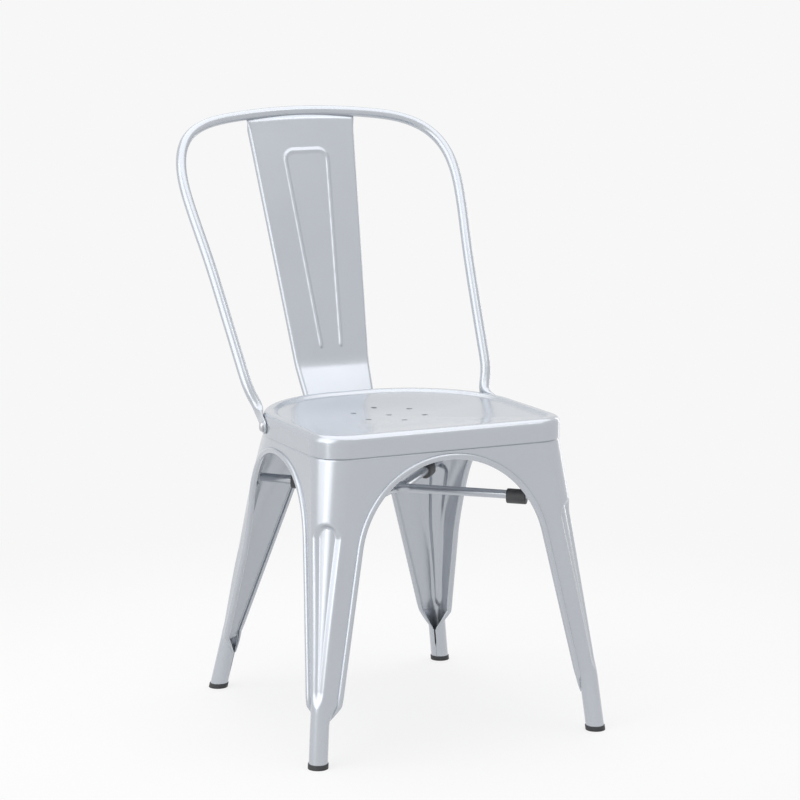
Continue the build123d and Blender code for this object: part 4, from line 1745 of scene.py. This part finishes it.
@dataclass(frozen=True)
class Fasteners:
    """The CAD's own bolts, washers and nuts, which only need their finish."""

    words: tuple[str, ...] = ("bolt", "washer", "nut")

    def dress(self, zinc: bpy.types.Material) -> list[bpy.types.Object]:
        """Plate every fastener.

        Args:
            zinc: their finish.

        Returns:
            The plated fasteners.
        """
        plated = []
        for name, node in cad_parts.items():
            if any(word in name for word in self.words):
                for slot in node.material_slots:
                    slot.material = zinc
                plated.append(node)
        return plated


@dataclass(frozen=True)
class Studio:
    """Pale floor, soft lamps, white surroundings and the camera.

    Attributes:
        shift: Y of the seat's middle in the shared frame, in metres.
        camera_at: the camera's place, in millimetres about the seat's middle.
        camera_back: direction from the chair back to the camera.
        lens: the camera's focal length in millimetres.
        sensor: width of its sensor in millimetres.
        far: how far it sees, in metres.
        white: strength of the surroundings as they are seen.
        fill: their strength as a light.
        shade: tone of the floor as it is seen.
        lift: light added to it there, which keeps the shadow pale.
        floor_half: half the floor's width in metres.
        floor_light: tone of the floor as it throws light back.
        fade_start: distance at which the floor starts to run out to white, in metres.
        fade_wide: how far that takes, in metres.
        aim: what the lamps look at, in metres.
        lamps: name, place, width and height in metres, and power in watts of every lamp.
    """

    shift: float
    camera_at: Triple = (-1707.5, -3592.8, 1154.8)
    camera_back: Triple = (-0.4239, -0.8890, 0.1731)
    lens: float = 128.34
    sensor: float = 36.0
    far: float = 200.0
    white: float = 0.93
    fill: float = 0.41
    shade: float = 0.25
    lift: float = 0.745
    floor_half: float = 40.0
    floor_light: float = 0.86
    fade_start: float = 0.45
    fade_wide: float = 0.8
    aim: Triple = (0.0, 0.0, 0.42)
    lamps: tuple[tuple[str, Triple, Pair, float], ...] = (
        ("key", (-2.8, -0.6, 1.9), (3.6, 3.2), 42.0),
        ("top", (0.2, 0.2, 2.8), (3.6, 3.8), 42.0),
        ("front", (1.5, -2.0, 3.15), (0.9, 0.5), 3.2),
        ("left_strip", (-1.5, -0.72, 0.6), (0.2, 1.1), 0.8),
        ("right_strip", (1.6, 0.75, 0.6), (0.2, 1.1), 1.5),
    )

    def build(self) -> None:
        """Set up the whole studio."""
        self.surround()
        self.floor()
        for lamp in self.lamps:
            self.lamp(*lamp)
        self.camera()
        bpy.context.scene.view_settings.view_transform = "Standard"

    def surround(self) -> None:
        """White world for the eye and for reflections, dimmer as a light."""
        world = bpy.data.worlds.new("studio_world")
        bpy.context.scene.world = world
        world.use_nodes = True
        graph = Graph(world.node_tree)
        light = graph.node("ShaderNodeBackground", {}, {"Color": WHITE, "Strength": self.fill})
        view = graph.node("ShaderNodeBackground", {}, {"Color": WHITE, "Strength": self.white})
        mixed = graph.node("ShaderNodeMixShader", {}, {0: self.seen(graph), 1: light, 2: view})
        graph.node("ShaderNodeOutputWorld", {}, {"Surface": mixed})

    def seen(self, graph: Graph) -> Value:
        """Tell rays that show the background from rays that carry light.

        Args:
            graph: where the nodes go.

        Returns:
            One for the first kind of ray and nought for the second.
        """
        path = graph.node("ShaderNodeLightPath", {}, {}, "Is Camera Ray")
        node = path.socket.node
        glossy = Value(graph, node.outputs["Is Glossy Ray"])
        clear = Value(graph, node.outputs["Is Transmission Ray"])
        return (path + glossy + clear).at_most(1.0)

    def floor(self) -> None:
        """Pale floor that keeps the shadow near the chair and runs out to white."""
        bpy.ops.object.select_all(action="DESELECT")
        bpy.ops.mesh.primitive_plane_add(size=2 * self.floor_half, location=(0.0, 0.0, 0.0))
        floor = bpy.context.object
        floor.name = "studio_floor"
        material, graph = new_material("studio_floor")
        place = graph.place()
        length = graph.node("ShaderNodeVectorMath", {"operation": "LENGTH"}, {0: place}, "Value")
        share = ((length - self.fade_start) / self.fade_wide).clamped()
        share = share * share * (3.0 - 2.0 * share)
        seen = self.seen(graph)
        pale, grey = ((tone, tone, tone, 1.0) for tone in (self.floor_light, self.shade))
        light = graph.node("ShaderNodeBsdfDiffuse", {}, {"Color": pale})
        shadow = graph.node("ShaderNodeBsdfDiffuse", {}, {"Color": grey})
        lift = graph.node("ShaderNodeEmission", {}, {"Color": WHITE, "Strength": self.lift})
        view = graph.node("ShaderNodeAddShader", {}, {0: shadow, 1: lift})
        near = graph.node("ShaderNodeMixShader", {}, {0: seen, 1: light, 2: view})
        glow = graph.node("ShaderNodeEmission", {}, {"Color": WHITE, "Strength": self.white})
        mixed = graph.node("ShaderNodeMixShader", {}, {0: share * seen, 1: near, 2: glow})
        graph.node("ShaderNodeOutputMaterial", {}, {"Surface": mixed})
        floor.data.materials.append(material)

    def lamp(self, name: str, place: Triple, size: Pair, power: float) -> None:
        """Hang one soft lamp that looks at the seat.

        Args:
            name: the lamp's name.
            place: where it hangs, in metres.
            size: its width and height, in metres.
            power: its power in watts.
        """
        data = bpy.data.lights.new(f"lamp_{name}", "AREA")
        data.shape = "RECTANGLE"
        data.size, data.size_y = size
        data.energy = power
        lamp = bpy.data.objects.new(f"lamp_{name}", data)
        bpy.context.collection.objects.link(lamp)
        lamp.location = place
        aim = Vector(self.aim) - Vector(place)
        lamp.rotation_euler = aim.to_track_quat("-Z", "Y").to_euler()

    def camera(self) -> None:
        """Stand the camera where the photograph was taken from."""
        data = bpy.data.cameras.new("camera")
        data.lens = self.lens
        data.sensor_width = self.sensor
        data.clip_end = self.far
        camera = bpy.data.objects.new("camera", data)
        bpy.context.collection.objects.link(camera)
        back = Vector(self.camera_back).normalized()
        camera.rotation_euler = back.to_track_quat("Z", "Y").to_euler()
        camera.location = Vector(self.camera_at) * MM + Vector((0.0, self.shift, 0.0))
        bpy.context.scene.camera = camera


def make_legs(press: Press) -> list[Leg]:
    """The four legs with the arches between them.

    Args:
        press: the frame's shape.

    Returns:
        The legs, the front one first on each side.
    """
    front = HalfArch(radius=144.5, centre=260.0, foot=184.56)
    rear = HalfArch(radius=76.5, centre=300.0, foot=152.21)
    side_front = HalfArch(radius=129.5, centre=267.0, foot=184.05)
    side_rear = HalfArch(radius=129.5, centre=267.0, foot=200.96)
    rear_flute = {"flute_low": (106.0, 10.0), "flute_high": (308.0, 15.0)}
    legs = []
    for side in Side:
        legs.append(Leg(End.FRONT, side, front, side_front, press))
        legs.append(Leg(End.REAR, side, rear, side_rear, press, **rear_flute))
    return legs


def report(*pieces: bpy.types.Object) -> None:
    """Log every finished piece with the number of its faces."""
    for piece in pieces:
        LOG.info("%s: %d faces", piece.name, len(piece.data.polygons))


def main() -> None:
    """Build, dress and report the chair piece by piece, then set up the studio."""
    logging.basicConfig(level=logging.INFO, format="%(message)s")
    low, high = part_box("seat_pan")
    bench = Bench(float(low.y + high.y) / 2)
    paint = PaintFinish().material()
    rubber = RubberFinish("floor_cap_rubber", light=(0.075, 0.076, 0.08, 1.0),
                          dark=(0.035, 0.036, 0.038, 1.0)).material()
    plastic = RubberFinish("pad_plastic", light=(0.12, 0.122, 0.125, 1.0),
                           dark=(0.06, 0.061, 0.064, 1.0), roughness=0.45).material()
    zinc = ZincFinish().material()
    press = Press()
    report(SeatPan().build(bench, paint))
    for leg in make_legs(press):
        report(leg.build(bench, paint), FloorCap(leg).build(bench, rubber))
    hoop = BackHoop()
    report(hoop.build(bench, paint), BackSplat(hoop).build(bench, paint))
    for end in End:
        report(*Brace(end, press).build(bench, paint, plastic))
    report(*Fasteners().dress(zinc))
    Studio(bench.shift).build()


if __name__ == "__main__":
    main()
